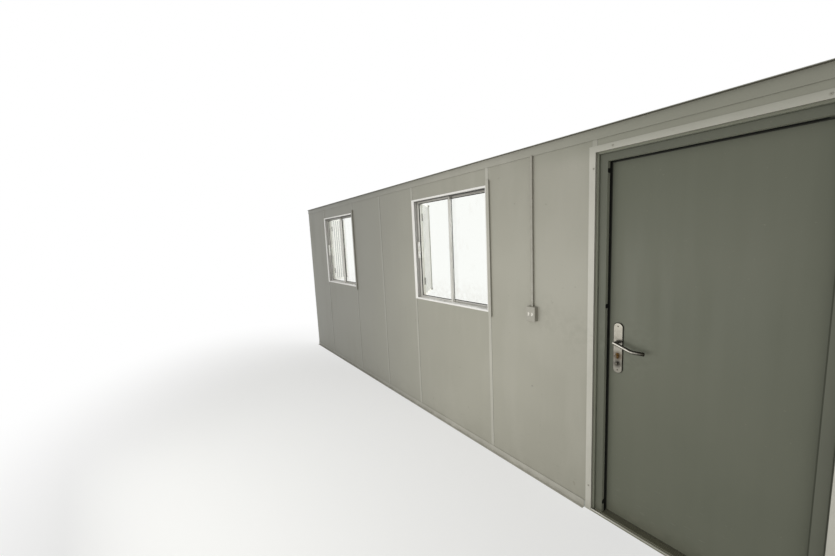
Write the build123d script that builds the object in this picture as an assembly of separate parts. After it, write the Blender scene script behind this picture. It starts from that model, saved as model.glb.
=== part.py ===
from build123d import *
import math
import os

# Long side wall of a portable site cabin, with a steel door and two sliding windows.
# X runs along the wall, Y from the room (minus) to the open air (plus), Z up.
# The origin is at the middle of the wall's underside. All sizes are in millimetres.

# Wall
wall_length = 5800
wall_height = 2240
wall_thickness = 100
channel_gauge = 2
channel_flange = 43
end_flange = 20
end_flange_gauge = 1.5
joiner_web = 2
joiner_flange = 26
joiner_gauge = 1.5

# Panel widths between joints, those between the windows and the door from the near end
far_end_panel = 646
window_panel = 930
near_middle_panel = 605
door_side_panel = 762
near_end_panel = 352.5

# Strips along the floor and the ceiling
skirting_height = 46
skirting_foot = 20
skirting_gauge = 2
skirting_gap = 8
ceiling_drop = 8
cornice_height = 57
cornice_shelf = 24
cornice_gauge = 2

# Door frame
door_head_drop = 128
door_frame_width = 898.5
frame_face = 53
frame_rebate = 30
frame_lip = 12
lip_setback = 16
groove_width = 5
groove_depth = 4
face_setback = 28
door_trim_width = 33
trim_gauge = 3
seal_width = 12
seal_thickness = 12
seal_bevel = 3
seal_overhang = 5
seal_gap = 5
plug_radius = 11
plug_thickness = 2
plug_from_stop = 13
plug_foot = 70
plug_middle_drop = 789
plug_top_drop = 49

# Threshold
threshold_height = 3
nosing_width = 7
nosing_rise = 8
nosing_bevel = 3
tread_groove_count = 7
tread_groove_width = 1.7
tread_groove_depth = 1.5

# Door leaf
leaf_thickness = 28
lock_gap = 7
hinge_gap = 5
head_gap = 6
sill_gap = 5
leaf_edge_bevel = 1.5
tray_seam_inset = 6
tray_seam_width = 2
tray_seam_depth = 1

# Door hinges
hinge_end_inset = 231
knuckle_radius = 8
knuckle_length = 50
knuckle_gap = 0.5
knuckle_clearance = 1
pin_radius = 4
pin_clearance = 0.3
bore_end = 5
pin_end_gap = 1
leaf_wing = 44
leaf_wing_gauge = 4
frame_wing_margin = 4.5
frame_wing_gauge = 3

# Lever handles and their backplates
handle_inset = 71
lever_height = 1070
plate_width = 49
plate_length = 290
plate_rise = 109
plate_gauge = 9
plate_bevel = 2.5
rose_radius = 13
rose_height = 4
neck_gap = 0.5
lever_radius = 10
lever_stand_off = 47
lever_reach = 142
lever_straight = 82
lever_droop = 30
lever_tip_drop = 29
lever_tip_return = 5
lever_bend_radius = 70
lever_tip_bevel = 3
spindle_side = 8
spindle_clearance = 0.5

# Lock
cylinder_drop = 72
cylinder_radius = 8.5
cylinder_lobe_width = 10
cylinder_height = 33
cylinder_proud = 3
turn_drop = 124
turn_radius = 8
turn_length = 14
turn_base = 3
turn_grip = 5
lock_case_width = 15
lock_case_depth = 95
lock_case_height = 190
lock_plate_width = 22
lock_plate_height = 240
lock_plate_gauge = 3
latch_width = 12
latch_height = 28
latch_proud = 1
bolt_drop = 78
bolt_height = 34
strike_gauge = 2
strike_width = 22
strike_rise = 60
strike_fall = 120
strike_hole_gap = 4
pocket_depth = 12
pocket_margin = 20
pocket_width = 16

# Windows
window_head_drop = 190
window_frame_height = 924
frame_web = 5
frame_lip_reach = 14
frame_lip_gauge = 3
track_fin_reach = 12
track_fin_gauge = 2
reveal_depth = 31
outer_flange = 12
outer_flange_gauge = 3
sash_depth = 21
sash_clearance = 2
sash_stile = 45
meeting_stile = 22
sash_rail = 20
sash_overlap = 19
bead_bevel = 4
glass_thickness = 6
glass_bite = 8
hook_gauge = 1.5
hook_reach = 6
hook_end_gap = 0.5
window_trim_width = 15
window_trim_wide = 38
window_trim_lap = 6
window_trim_end = 3
trim_return_gauge = 3
side_strip_width = 26
side_strip_depth = 15
side_strip_gauge = 1.5
side_strip_fall = 38
side_strip_rise = 37
catch_width = 17
catch_height = 155
catch_depth = 17
catch_gap = 6
catch_corner = 4
scoop_radius = 14
scoop_rim = 3

# Window shutters, standing open outside
shutter_opening = 133
shutter_meeting_gap = 16
shutter_axis_inset = 4
shutter_stand_off = 16
sheet_gauge = 1.2
rib_count = 6
rib_depth = 12
rib_slope = 8
shutter_edge_gap = 6
shutter_rail = 24
shutter_edge_bar = 4
shutter_rim = 1
drop_bolt_radius = 5
drop_bolt_inset = 60
bolt_guide_height = 18
bolt_guide_wall = 3
bolt_guide_margin = 3
shutter_knuckle_radius = 6
shutter_knuckle_length = 70
shutter_hinge_plate = 26
shutter_hinge_gauge = 2.5
shutter_hinge_inset = 150

# Light switch
trunking_side = 16
switch_from_door_joint = 387
switch_width = 66
switch_height = 98
switch_depth = 34
switch_cover_depth = 9
switch_bottom = 1120
switch_corner = 5
switch_bevel = 1.5
rocker_width = 12
rocker_height = 22
rocker_proud = 3
rocker_seat = 5
rocker_spacing = 26

# Places worked out from the sizes above
overrun = 10
half_length = wall_length / 2
inner_face = -wall_thickness / 2
outer_face = wall_thickness / 2
strip_back = inner_face - channel_gauge
panel_foot = channel_gauge
panel_top = wall_height - channel_gauge
ceiling_height = wall_height - ceiling_drop
cornice_foot = ceiling_height - cornice_height

door_right_joint = half_length - near_end_panel
door_frame_right = door_right_joint - joiner_web / 2
door_frame_left = door_frame_right - door_frame_width
door_left_joint = door_frame_left - joiner_web / 2
near_window_joint = door_left_joint - door_side_panel - window_panel
middle_joint = near_window_joint - near_middle_panel
far_window_joint = -half_length + far_end_panel
window_joints = (far_window_joint, near_window_joint)

door_frame_top = wall_height - door_head_drop
door_trim_top = door_frame_top - trim_gauge + door_trim_width
lip_y = inner_face + lip_setback
frame_face_y = inner_face + face_setback
clear_left = door_frame_left + frame_face
clear_right = door_frame_right - frame_face
clear_top = door_frame_top - frame_face
rebate_left = door_frame_left + frame_rebate
rebate_right = door_frame_right - frame_rebate
rebate_top = door_frame_top - frame_rebate
threshold_top = channel_gauge + threshold_height

leaf_left = rebate_left + lock_gap
leaf_right = rebate_right - hinge_gap
leaf_bottom = threshold_top + sill_gap
leaf_top = rebate_top - head_gap
leaf_outer = outer_face
leaf_inner = leaf_outer - leaf_thickness
lock_y = (leaf_inner + leaf_outer) / 2
stop_face = leaf_inner - seal_gap - seal_thickness
hinge_x = leaf_right + hinge_gap / 2
hinge_y = leaf_outer + knuckle_clearance + knuckle_radius
hinge_heights = (leaf_bottom + hinge_end_inset, (leaf_bottom + leaf_top) / 2, leaf_top - hinge_end_inset)
lever_x = leaf_left + handle_inset
plate_top = lever_height + plate_rise
plate_foot = plate_top - plate_length

window_top = wall_height - window_head_drop
window_sill = window_top - window_frame_height
frame_inner_y = inner_face + reveal_depth
inner_track_y = frame_inner_y + frame_lip_gauge + sash_clearance
track_gap = 2 * sash_clearance + track_fin_gauge
outer_track_y = inner_track_y + sash_depth + track_gap
shutter_axis_y = outer_face + outer_flange_gauge + shutter_stand_off
shutter_width = (window_panel - joiner_web - shutter_meeting_gap) / 2 - shutter_axis_inset
trunking_x = door_left_joint - switch_from_door_joint


def block(x0, x1, y0, y1, z0, z1):
    """Box between two opposite corners."""
    place = Pos((x0 + x1) / 2, (y0 + y1) / 2, (z0 + z1) / 2)
    return place * Box(x1 - x0, y1 - y0, z1 - z0)


def upright_block(x, y, width, depth, z0, z1):
    """Box centred on a line along Z."""
    return block(x - width / 2, x + width / 2, y - depth / 2, y + depth / 2, z0, z1)


def prism(axis, points, start, end):
    """Straight bar along one axis, from the outline of its section."""
    plane = {"x": Plane.YZ, "y": Plane.XZ, "z": Plane.XY}[axis]
    along = {"x": Vector(1, 0, 0), "y": Vector(0, 1, 0), "z": Vector(0, 0, 1)}[axis]
    section = make_face(plane * Polyline(*points, close=True))
    return Pos(along * start) * extrude(section, end - start, dir=along)


def rod(axis, centre, radius, start, end):
    """Round bar along one axis, through a centre given in the other two."""
    turn = {"x": Rot(0, 90, 0), "y": Rot(-90, 0, 0), "z": Rot(0, 0, 0)}[axis]
    middle = (start + end) / 2
    place = {
        "x": (middle, centre[0], centre[1]),
        "y": (centre[0], middle, centre[1]),
        "z": (centre[0], centre[1], middle),
    }[axis]
    return Pos(*place) * turn * Cylinder(radius, end - start)


def ring(bounds, outer, inner, y0, y1):
    """Rectangular frame between two insets from an outline (x0, x1, z0, z1)."""
    x0, x1, z0, z1 = bounds
    body = block(x0 + outer, x1 - outer, y0, y1, z0 + outer, z1 - outer)
    hole = block(x0 + inner, x1 - inner, y0 - overrun, y1 + overrun, z0 + inner, z1 - inner)
    return body - hole


def surround(section, left, right, foot, top):
    """Two uprights and a head of one section, mitred at the upper corners.

    The section's points are (distance in from the outer edge, y).
    """
    reach = max(inset for inset, y in section) + overrun
    y0 = min(y for inset, y in section) - overrun
    y1 = max(y for inset, y in section) + overrun
    uprights = []
    wedges = []
    for edge, inwards in ((left, 1), (right, -1)):
        upright = prism("z", [(edge + inwards * inset, y) for inset, y in section], foot, top)
        wedge = prism("y", [
            (edge - inwards * overrun, top + overrun),
            (edge + inwards * reach, top + overrun),
            (edge + inwards * reach, top - reach),
        ], y0, y1)
        uprights.append(upright - wedge)
        wedges.append(wedge)
    head = prism("x", [(y, top - inset) for inset, y in section], left, right)
    between = block(left + reach, right - reach, y0, y1, top - reach, top + overrun)
    return uprights[0], uprights[1], head & (wedges[0] + wedges[1] + between)


def save(name, *solids):
    """Write one named piece, one solid or several apart, to its own file."""
    shape = solids[0] if len(solids) == 1 else Compound(children=list(solids))
    export_step(shape, f"parts/{name}.step")


def channel(web_z, flange_z):
    """Folded channel along the wall that holds the panels' edges."""
    rise = channel_gauge if flange_z > web_z else -channel_gauge
    web_low, web_high = sorted((web_z, web_z + rise))
    low, high = sorted((web_z, flange_z))
    shape = block(-half_length, half_length, strip_back, outer_face + channel_gauge, web_low, web_high)
    for y0, y1 in ((strip_back, inner_face), (outer_face, outer_face + channel_gauge)):
        shape += block(-half_length, half_length, y0, y1, low, high)
    return shape


def end_channel(side):
    """Folded channel that closes one end of the wall."""
    end = side * half_length
    web_x = sorted((end, end - side * channel_gauge))
    flange_x = sorted((end, end - side * end_flange))
    shape = block(*web_x, inner_face, outer_face, panel_foot, panel_top)
    for y0, y1 in ((inner_face - end_flange_gauge, inner_face), (outer_face, outer_face + end_flange_gauge)):
        shape += block(*flange_x, y0, y1, channel_flange, wall_height - channel_flange)
    return shape


def joiner(x, inside_cut=None, outside_cut=None):
    """H-section between two panels, each cover strip left out between two heights."""
    half = joiner_flange / 2
    low = channel_flange
    high = wall_height - channel_flange
    shape = block(x - joiner_web / 2, x + joiner_web / 2, inner_face, outer_face, panel_foot, panel_top)
    for cut, y0, y1 in ((inside_cut, inner_face - joiner_gauge, inner_face),
                        (outside_cut, outer_face, outer_face + joiner_gauge)):
        spans = [(low, high)] if cut is None else [(low, cut[0]), (cut[1], high)]
        for z0, z1 in spans:
            if z1 > z0:
                shape += block(x - half, x + half, y0, y1, z0, z1)
    return shape


def wall_frame():
    """Channels round the wall; the floor channel's legs stop at the doorway."""
    doorway = block(door_frame_left, door_frame_right, strip_back - overrun, outer_face + channel_gauge + overrun,
                    channel_gauge, channel_flange + overrun)
    save("bottom_channel", channel(0, channel_flange) - doorway)
    save("top_channel", channel(wall_height, wall_height - channel_flange))
    save("end_channels", end_channel(-1), end_channel(1))


def floor_and_ceiling_strips():
    """Folded angle strips, the skirting in two lengths beside the door."""
    skirting_face = strip_back - skirting_gauge
    skirting = [
        (strip_back, 0), (strip_back, skirting_height), (skirting_face, skirting_height),
        (skirting_face, skirting_gauge), (strip_back - skirting_foot, skirting_gauge),
        (strip_back - skirting_foot, 0),
    ]
    left_end = door_frame_left + trim_gauge - door_trim_width - skirting_gap
    right_start = door_frame_right - frame_lip + door_trim_width + skirting_gap
    save("skirting", prism("x", skirting, -half_length, left_end), prism("x", skirting, right_start, half_length))
    shelf_foot = ceiling_height - cornice_gauge
    cornice_face = strip_back - cornice_gauge
    cornice = [
        (strip_back, cornice_foot), (strip_back, ceiling_height), (strip_back - cornice_shelf, ceiling_height),
        (strip_back - cornice_shelf, shelf_foot), (cornice_face, shelf_foot), (cornice_face, cornice_foot),
    ]
    save("cornice", prism("x", cornice, -half_length, half_length))


def panel(x0, x1, z0=panel_foot, z1=panel_top):
    """One insulated panel between two joints."""
    return block(x0, x1, inner_face, outer_face, z0, z1)


def wall_panels():
    """Panels between the joiners, cut round the windows and the door."""
    web = joiner_web / 2
    far_window_end = far_window_joint + window_panel
    near_window_end = near_window_joint + window_panel
    save("panel_far_end", panel(-half_length + channel_gauge, far_window_joint - web))
    save("panel_between_windows_far", panel(far_window_end + web, middle_joint - web))
    save("panel_between_windows_near", panel(middle_joint + web, near_window_joint - web))
    save("panel_beside_door", panel(near_window_end + web, door_left_joint - web))
    save("panel_over_door", panel(door_frame_left, door_frame_right, z0=door_frame_top))
    save("panel_near_end", panel(door_right_joint + web, half_length - channel_gauge))
    spans = [(joint + web, joint + window_panel - web) for joint in window_joints]
    save("panels_under_windows", *[panel(x0, x1, z1=window_sill) for x0, x1 in spans])
    save("panels_over_windows", *[panel(x0, x1, z0=window_top) for x0, x1 in spans])


def panel_joiners():
    """All the joiners, with their cover strips cut where trims and flanges cross them."""
    trim_span = (window_sill - window_trim_lap, window_top + window_trim_lap)
    strip_span = (window_sill - side_strip_fall, window_top + side_strip_rise)
    flange_span = (window_sill - outer_flange, window_top + outer_flange)
    inside_span = (channel_flange, door_trim_top)
    outside_span = (channel_flange, door_frame_top + door_trim_width)
    shapes = [joiner(middle_joint)]
    for joint in window_joints:
        shapes.append(joiner(joint, trim_span, flange_span))
        shapes.append(joiner(joint + window_panel, strip_span, flange_span))
    for joint in (door_left_joint, door_right_joint):
        shapes.append(joiner(joint, inside_span, outside_span))
    save("panel_joiners", *shapes)


def door_frame():
    """Rebated steel frame: two jambs and a head, with a raised lip, a groove and a stop."""
    groove_end = frame_lip + groove_width
    groove_floor = frame_face_y + groove_depth
    section = [
        (0, lip_y), (frame_lip, lip_y), (frame_lip, groove_floor), (groove_end, groove_floor),
        (groove_end, frame_face_y), (frame_face, frame_face_y), (frame_face, stop_face),
        (frame_rebate, stop_face), (frame_rebate, outer_face), (0, outer_face),
    ]
    lock_jamb, hinge_jamb, head = surround(section, door_frame_left, door_frame_right, panel_foot, door_frame_top)
    strike_top = lever_height + strike_rise
    strike_foot = lever_height - strike_fall
    seat = block(rebate_left - strike_gauge, rebate_left, lock_y - strike_width / 2,
                 lock_y + strike_width / 2, strike_foot, strike_top)
    pocket = block(rebate_left - pocket_depth, rebate_left, lock_y - pocket_width / 2,
                   lock_y + pocket_width / 2, strike_foot + pocket_margin, strike_top - pocket_margin)
    save("door_jamb_lock_side", lock_jamb - seat - pocket)
    save("door_jamb_hinge_side", hinge_jamb)
    save("door_head", head)
    strike = seat
    for drop, height in ((0, latch_height), (bolt_drop, bolt_height)):
        half = height / 2 + strike_hole_gap
        middle = lever_height - drop
        strike -= upright_block(rebate_left, lock_y, 2 * pocket_depth, latch_width + strike_hole_gap,
                                middle - half, middle + half)
    save("strike_plate", strike)


def door_trims():
    """Trims round the door frame, notched over the floor channel.

    Each bar in the room is folded back against the frame's lip; the one on the hinge side covers the lip.
    Those outside are flat.
    """
    inner_edge = door_trim_width - trim_gauge
    front = inner_face - trim_gauge
    folded = [
        (0, front), (door_trim_width, front), (door_trim_width, lip_y), (inner_edge, lip_y),
        (inner_edge, inner_face), (0, inner_face),
    ]
    back = outer_face + trim_gauge
    flat = [(0, outer_face), (door_trim_width, outer_face), (door_trim_width, back), (0, back)]
    wide = (-half_length, half_length)
    channel = block(*wide, strip_back, outer_face + channel_gauge, -overrun, channel_gauge)
    channel += block(*wide, strip_back, inner_face, -overrun, channel_flange)
    channel += block(*wide, outer_face, outer_face + channel_gauge, -overrun, channel_flange)
    trims = []
    for section, lock_lap, hinge_lap, top in ((folded, trim_gauge, frame_lip, door_trim_top),
                                              (flat, 0, 0, door_frame_top + door_trim_width)):
        outer_left = door_frame_left + lock_lap - door_trim_width
        outer_right = door_frame_right - hinge_lap + door_trim_width
        left, right, head = surround(section, outer_left, outer_right, 0, top)
        trims.append(left + right + head - channel)
    save("door_trims", *trims)


def door_seal():
    """Deep rubber strip with a bevelled crown, standing on the stop and over its edge."""
    crown = stop_face + seal_thickness
    shoulder = crown - seal_bevel
    section = [
        (0, stop_face), (seal_width, stop_face), (seal_width, shoulder), (seal_width - seal_bevel, crown),
        (seal_bevel, crown), (0, shoulder),
    ]
    edge = seal_width - seal_overhang
    left, right, head = surround(section, clear_left - edge, clear_right + edge, threshold_top, clear_top + edge)
    save("door_seal", left + right + head)


def frame_plugs():
    """Round caps over the fixing holes in the lock side reveal."""
    y = stop_face - plug_from_stop
    heights = (plug_foot, clear_top - plug_middle_drop, clear_top - plug_top_drop)
    caps = [rod("x", (y, z), plug_radius, clear_left, clear_left + plug_thickness) for z in heights]
    save("frame_plugs", *caps)


def threshold():
    """Aluminium threshold with a raised nosing and a grooved tread, let in between the trims."""
    left = door_frame_left + trim_gauge
    right = door_frame_right - frame_lip
    groove_end = frame_lip + groove_width
    tread_start = inner_face + nosing_width
    shape = block(left, right, inner_face, lip_y, channel_gauge, threshold_top)
    shape += block(door_frame_left + groove_end, door_frame_right - groove_end, lip_y, frame_face_y,
                   channel_gauge, threshold_top)
    shape += block(clear_left, clear_right, frame_face_y, outer_face, channel_gauge, threshold_top)
    shape += block(rebate_left, rebate_right, stop_face, outer_face, channel_gauge, threshold_top)
    crest = threshold_top + nosing_rise
    nosing = [
        (inner_face, threshold_top), (inner_face, crest), (tread_start - nosing_bevel, crest),
        (tread_start, crest - nosing_bevel), (tread_start, threshold_top),
    ]
    shape += prism("x", nosing, left, right)
    pitch = (leaf_inner - tread_start) / tread_groove_count
    for index in range(tread_groove_count):
        y = tread_start + (index + 0.5) * pitch
        shape -= block(door_frame_left, door_frame_right, y - tread_groove_width / 2, y + tread_groove_width / 2,
                       threshold_top - tread_groove_depth, threshold_top + overrun)
    save("threshold", shape)


def door_hinges():
    """Three lift-off hinges, the pin fast in the lower half."""
    centre = (hinge_x, hinge_y)
    frame_wing_end = door_frame_right - frame_wing_margin
    frame_halves = []
    leaf_halves = []
    for z in hinge_heights:
        foot = z - knuckle_length
        head = z + knuckle_length
        lower = rod("z", centre, knuckle_radius, foot, z)
        lower += block(hinge_x, frame_wing_end, outer_face, outer_face + frame_wing_gauge, foot, z)
        lower += rod("z", centre, pin_radius, z, head - bore_end - pin_end_gap)
        frame_halves.append(lower)
        base = z + knuckle_gap
        upper = rod("z", centre, knuckle_radius, base, head)
        upper += block(hinge_x - leaf_wing, hinge_x, leaf_outer, leaf_outer + leaf_wing_gauge, base, head)
        upper -= rod("z", centre, pin_radius + pin_clearance, z, head - bore_end)
        leaf_halves.append(upper)
    save("hinge_frame_halves", *frame_halves)
    save("hinge_leaf_halves", *leaf_halves)


def lock_cylinder():
    """Profile cylinder right through the leaf: a round barrel over a flat lobe."""
    z = lever_height - cylinder_drop
    y0 = leaf_inner - plate_gauge - cylinder_proud
    y1 = leaf_outer + plate_gauge + cylinder_proud
    half = cylinder_lobe_width / 2
    lobe = block(lever_x - half, lever_x + half, y0, y1, z + cylinder_radius - cylinder_height, z)
    return rod("y", (lever_x, z), cylinder_radius, y0, y1) + lobe


def spindle_way(y0, y1):
    """Round hole in which the square spindle turns."""
    radius = spindle_side / 2 * math.sqrt(2) + spindle_clearance
    return rod("y", (lever_x, lever_height), radius, y0, y1)


def lock_case():
    """Mortice lock: a flat case behind a face plate on the leaf's edge."""
    back = leaf_left + lock_plate_gauge
    lock_middle = lever_height - cylinder_drop / 2
    bars = (
        (back, back + lock_case_depth, lock_middle, lock_case_width, lock_case_height),
        (leaf_left, back, lock_middle, lock_plate_width, lock_plate_height),
        (leaf_left - latch_proud, leaf_left, lever_height, latch_width, latch_height),
    )
    case, plate, latch = [
        upright_block((x0 + x1) / 2, lock_y, x1 - x0, width, middle - height / 2, middle + height / 2)
        for x0, x1, middle, width, height in bars
    ]
    return case + plate + latch


def door_leaf():
    """Steel-faced leaf with a seam round its edges, cut for its lock, cylinder and spindle."""
    leaf = block(leaf_left, leaf_right, leaf_inner, leaf_outer, leaf_bottom, leaf_top)
    leaf = chamfer(leaf.edges().filter_by(Axis.Z), leaf_edge_bevel)
    bounds = (leaf_left, leaf_right, leaf_bottom, leaf_top)
    seam_y = leaf_inner + tray_seam_inset
    leaf -= ring(bounds, -overrun, tray_seam_depth, seam_y - tray_seam_width / 2, seam_y + tray_seam_width / 2)
    way = spindle_way(leaf_inner - overrun, leaf_outer + overrun)
    cylinder = lock_cylinder()
    case = lock_case()
    save("door_leaf", leaf - case - cylinder - way)
    save("lock_case", case - cylinder - way)
    save("lock_cylinder", cylinder)


def handle_plate(face, out):
    """Long backplate with round ends, a bevelled rim and a rose for the lever."""
    middle = (plate_top + plate_foot) / 2
    slot = Plane.XZ * Rot(0, 0, 90) * SlotOverall(plate_length, plate_width)
    plate = Pos(lever_x, face, middle) * extrude(slot, plate_gauge, dir=(0, out, 0))
    front = face + out * plate_gauge
    rim = plate.edges().filter_by_position(Axis.Y, front, front)
    plate = chamfer(rim, plate_bevel)
    rose_end = front + out * rose_height
    plate += rod("y", (lever_x, lever_height), rose_radius, *sorted((front, rose_end)))
    plate -= spindle_way(*sorted((face - out * overrun, rose_end + out * overrun)))
    return plate - lock_cylinder()


def lever(face, out):
    """Round bar lever: a neck out of the rose, mitred to a grip that droops and levels out."""
    neck_start = face + out * (plate_gauge + rose_height + neck_gap)
    grip_y = face + out * lever_stand_off
    z = lever_height
    neck = Line((lever_x, neck_start, z), (lever_x, grip_y, z))
    grip = FilletPolyline(
        (lever_x, grip_y, z),
        (lever_x + lever_straight, grip_y, z - lever_droop),
        (lever_x + lever_reach, grip_y - out * lever_tip_return, z - lever_tip_drop),
        radius=lever_bend_radius,
    )
    section = Plane(origin=neck @ 0, z_dir=neck % 0) * Circle(lever_radius)
    bar = sweep(section, path=Wire(neck.edges() + grip.edges()), transition=Transition.RIGHT)
    tip = bar.faces().sort_by_distance(grip @ 1)[0]
    return chamfer(tip.edges(), lever_tip_bevel)


def handles():
    """Backplates and levers on both faces, the square spindle fast in the inside lever."""
    save("handle_plates", handle_plate(leaf_inner, -1), handle_plate(leaf_outer, 1))
    reach = plate_gauge + rose_height + neck_gap
    half = spindle_side / 2
    spindle = block(lever_x - half, lever_x + half, leaf_inner - reach, leaf_outer + reach,
                    lever_height - half, lever_height + half)
    save("lever_inside", lever(leaf_inner, -1) + spindle)
    save("lever_outside", lever(leaf_outer, 1))


def snib():
    """Thumb turn under the cylinder, on the room side."""
    z = lever_height - turn_drop
    face = leaf_inner - plate_gauge
    base = face - turn_base
    shape = rod("y", (lever_x, z), turn_radius, base, face)
    shape += block(lever_x - turn_grip / 2, lever_x + turn_grip / 2, face - turn_length, base,
                   z - turn_radius, z + turn_radius)
    save("snib", shape)


def window_bounds(joint):
    """Outline of one window's frame between its two joiners."""
    web = joiner_web / 2
    return joint + web, joint + window_panel - web, window_sill, window_top


def window_frame(joint):
    """Aluminium frame with two tracks and a flange on the outer face."""
    bounds = window_bounds(joint)
    fin_y = inner_track_y + sash_depth + sash_clearance
    outer_lip_y = outer_track_y + sash_depth + sash_clearance
    shape = ring(bounds, 0, frame_web, frame_inner_y, outer_face)
    shape += ring(bounds, 0, frame_lip_reach, frame_inner_y, frame_inner_y + frame_lip_gauge)
    shape += ring(bounds, 0, track_fin_reach, fin_y, fin_y + track_fin_gauge)
    shape += ring(bounds, 0, frame_lip_reach, outer_lip_y, outer_face)
    shape += ring(bounds, -outer_flange, frame_web, outer_face, outer_face + outer_flange_gauge)
    return shape


def sash_section(width):
    """Stile or rail as (distance in, depth) points, with a glass pocket and bevelled beads."""
    pocket = (sash_depth - glass_thickness) / 2
    floor = width - glass_bite
    return [
        (0, 0), (width - bead_bevel, 0), (width, bead_bevel), (width, pocket), (floor, pocket),
        (floor, sash_depth - pocket), (width, sash_depth - pocket), (width, sash_depth - bead_bevel),
        (width - bead_bevel, sash_depth), (0, sash_depth),
    ]


def interlock(middle, face, out, low, high):
    """Hook on a meeting stile that reaches behind the other sash's hook."""
    slack = (track_gap - 2 * hook_gauge) / 3
    crown = track_gap - slack
    leg_x = sorted((middle + out * hook_reach, middle + out * (hook_reach - hook_gauge)))
    foot_x = sorted((middle + out * hook_reach, middle - out * (hook_reach - hook_gauge - hook_end_gap)))
    leg = block(*leg_x, *sorted((face, face + out * crown)), low, high)
    foot = block(*foot_x, *sorted((face + out * (crown - hook_gauge), face + out * crown)), low, high)
    return leg + foot


def sash(joint, sliding):
    """One glazed sash, resting on the frame's sill: the four bars and the pane between them."""
    x0, x1, z0, z1 = window_bounds(joint)
    middle = (x0 + x1) / 2
    if sliding:
        left, right, left_stile, right_stile = x0 + frame_web, middle + sash_overlap, sash_stile, meeting_stile
    else:
        left, right, left_stile, right_stile = middle - sash_overlap, x1 - frame_web, meeting_stile, sash_stile
    low = z0 + frame_web
    high = z1 - frame_web - 2 * sash_clearance
    y0 = inner_track_y if sliding else outer_track_y
    rail = sash_section(sash_rail)
    bars = prism("z", [(left + inset, y0 + y) for inset, y in sash_section(left_stile)], low, high)
    bars += prism("z", [(right - inset, y0 + y) for inset, y in sash_section(right_stile)], low, high)
    bars += prism("x", [(y0 + y, low + inset) for inset, y in rail], left, right)
    bars += prism("x", [(y0 + y, high - inset) for inset, y in rail], left, right)
    hook_face, out = (y0 + sash_depth, 1) if sliding else (y0, -1)
    bars += interlock(middle, hook_face, out, z0 + track_fin_reach + sash_clearance,
                      z1 - track_fin_reach - sash_clearance)
    pane_y = y0 + (sash_depth - glass_thickness) / 2
    pane = block(left + left_stile - glass_bite, right - right_stile + glass_bite, pane_y,
                 pane_y + glass_thickness, low + sash_rail - glass_bite, high - sash_rail + glass_bite)
    return bars, pane


def window_trim(joint):
    """Folded trim round the reveal, wide on its left and set back from the cover strip on its right."""
    x0, x1, z0, z1 = window_bounds(joint)
    left = x0 - window_trim_lap
    right = x1 - window_trim_end
    low = z0 - window_trim_lap
    high = z1 + window_trim_lap
    hole_left = left + window_trim_wide
    hole_right = right - window_trim_width
    hole_low = low + window_trim_width
    hole_high = high - window_trim_width
    front = inner_face - trim_gauge
    gauge = trim_return_gauge
    face = block(left, right, front, inner_face, low, high)
    lining = block(hole_left - gauge, hole_right + gauge, inner_face, frame_inner_y, hole_low - gauge,
                   hole_high + gauge)
    hole = block(hole_left, hole_right, front - overrun, frame_inner_y + overrun, hole_low, hole_high)
    return face + lining - hole


def side_strip(joint):
    """Folded cover strip on the joint at a window's right, open at its back."""
    left = joint + window_panel - joiner_web
    right = left + side_strip_width
    low = window_sill - side_strip_fall
    high = window_top + side_strip_rise
    front = inner_face - side_strip_depth
    shell = block(left, right, front, inner_face, low, high)
    hollow = block(left + side_strip_gauge, right - side_strip_gauge, front + side_strip_gauge,
                   inner_face + overrun, low + side_strip_gauge, high - side_strip_gauge)
    return shell - hollow


def catch(joint):
    """Pull and catch on the sliding sash's outer stile, with a finger scoop."""
    x0, x1, z0, z1 = window_bounds(joint)
    left = x0 - window_trim_lap + window_trim_wide + catch_gap
    right = left + catch_width
    front = inner_track_y - catch_depth
    middle = (z0 + z1) / 2
    body = block(left, right, front, inner_track_y, middle - catch_height / 2, middle + catch_height / 2)
    body = chamfer(body.edges().filter_by(Axis.Y), catch_corner)
    return body - rod("x", (front, middle), scoop_radius, left + scoop_rim, right + overrun)


def windows():
    """Frames, sashes, panes, trims, strips and catches of both windows."""
    sliding = [sash(joint, True) for joint in window_joints]
    fixed = [sash(joint, False) for joint in window_joints]
    save("window_frames", *[window_frame(joint) for joint in window_joints])
    save("sliding_sashes", *[bars for bars, pane in sliding])
    save("fixed_sashes", *[bars for bars, pane in fixed])
    save("window_glass", *[pane for bars, pane in sliding + fixed])
    save("window_trims", *[window_trim(joint) for joint in window_joints])
    save("window_side_strips", *[side_strip(joint) for joint in window_joints])
    save("window_catches", *[catch(joint) for joint in window_joints])


def shutter_section():
    """Ribbed sheet as (along, across) points from the hinge edge to the free edge."""
    pitch = (shutter_width - 2 * shutter_edge_gap) / rib_count
    crest = pitch / 2 - rib_slope
    line = []
    for index in range(rib_count):
        start = shutter_edge_gap + index * pitch
        line += [
            (start, 0), (start + crest, 0), (start + crest + rib_slope, rib_depth),
            (start + pitch - rib_slope, rib_depth),
        ]
    line.append((shutter_width - shutter_edge_gap, 0))
    back = [(x, y + sheet_gauge) for x, y in reversed(line)]
    return line + back


def shutter_leaf():
    """One shutter leaf lying along +X from its hinge line, ribbed sheet in a rim."""
    sheet = prism("z", shutter_section(), window_sill, window_top)
    left = shutter_edge_gap
    right = shutter_width - shutter_edge_gap
    front = -shutter_rim
    back = rib_depth + sheet_gauge + shutter_rim
    for z0, z1 in ((window_sill, window_sill + shutter_rail), (window_top - shutter_rail, window_top)):
        sheet += block(left, right, front, back, z0, z1)
    for x0 in (left, right - shutter_edge_bar):
        sheet += block(x0, x0 + shutter_edge_bar, front, back, window_sill, window_top)
    return sheet


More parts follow.
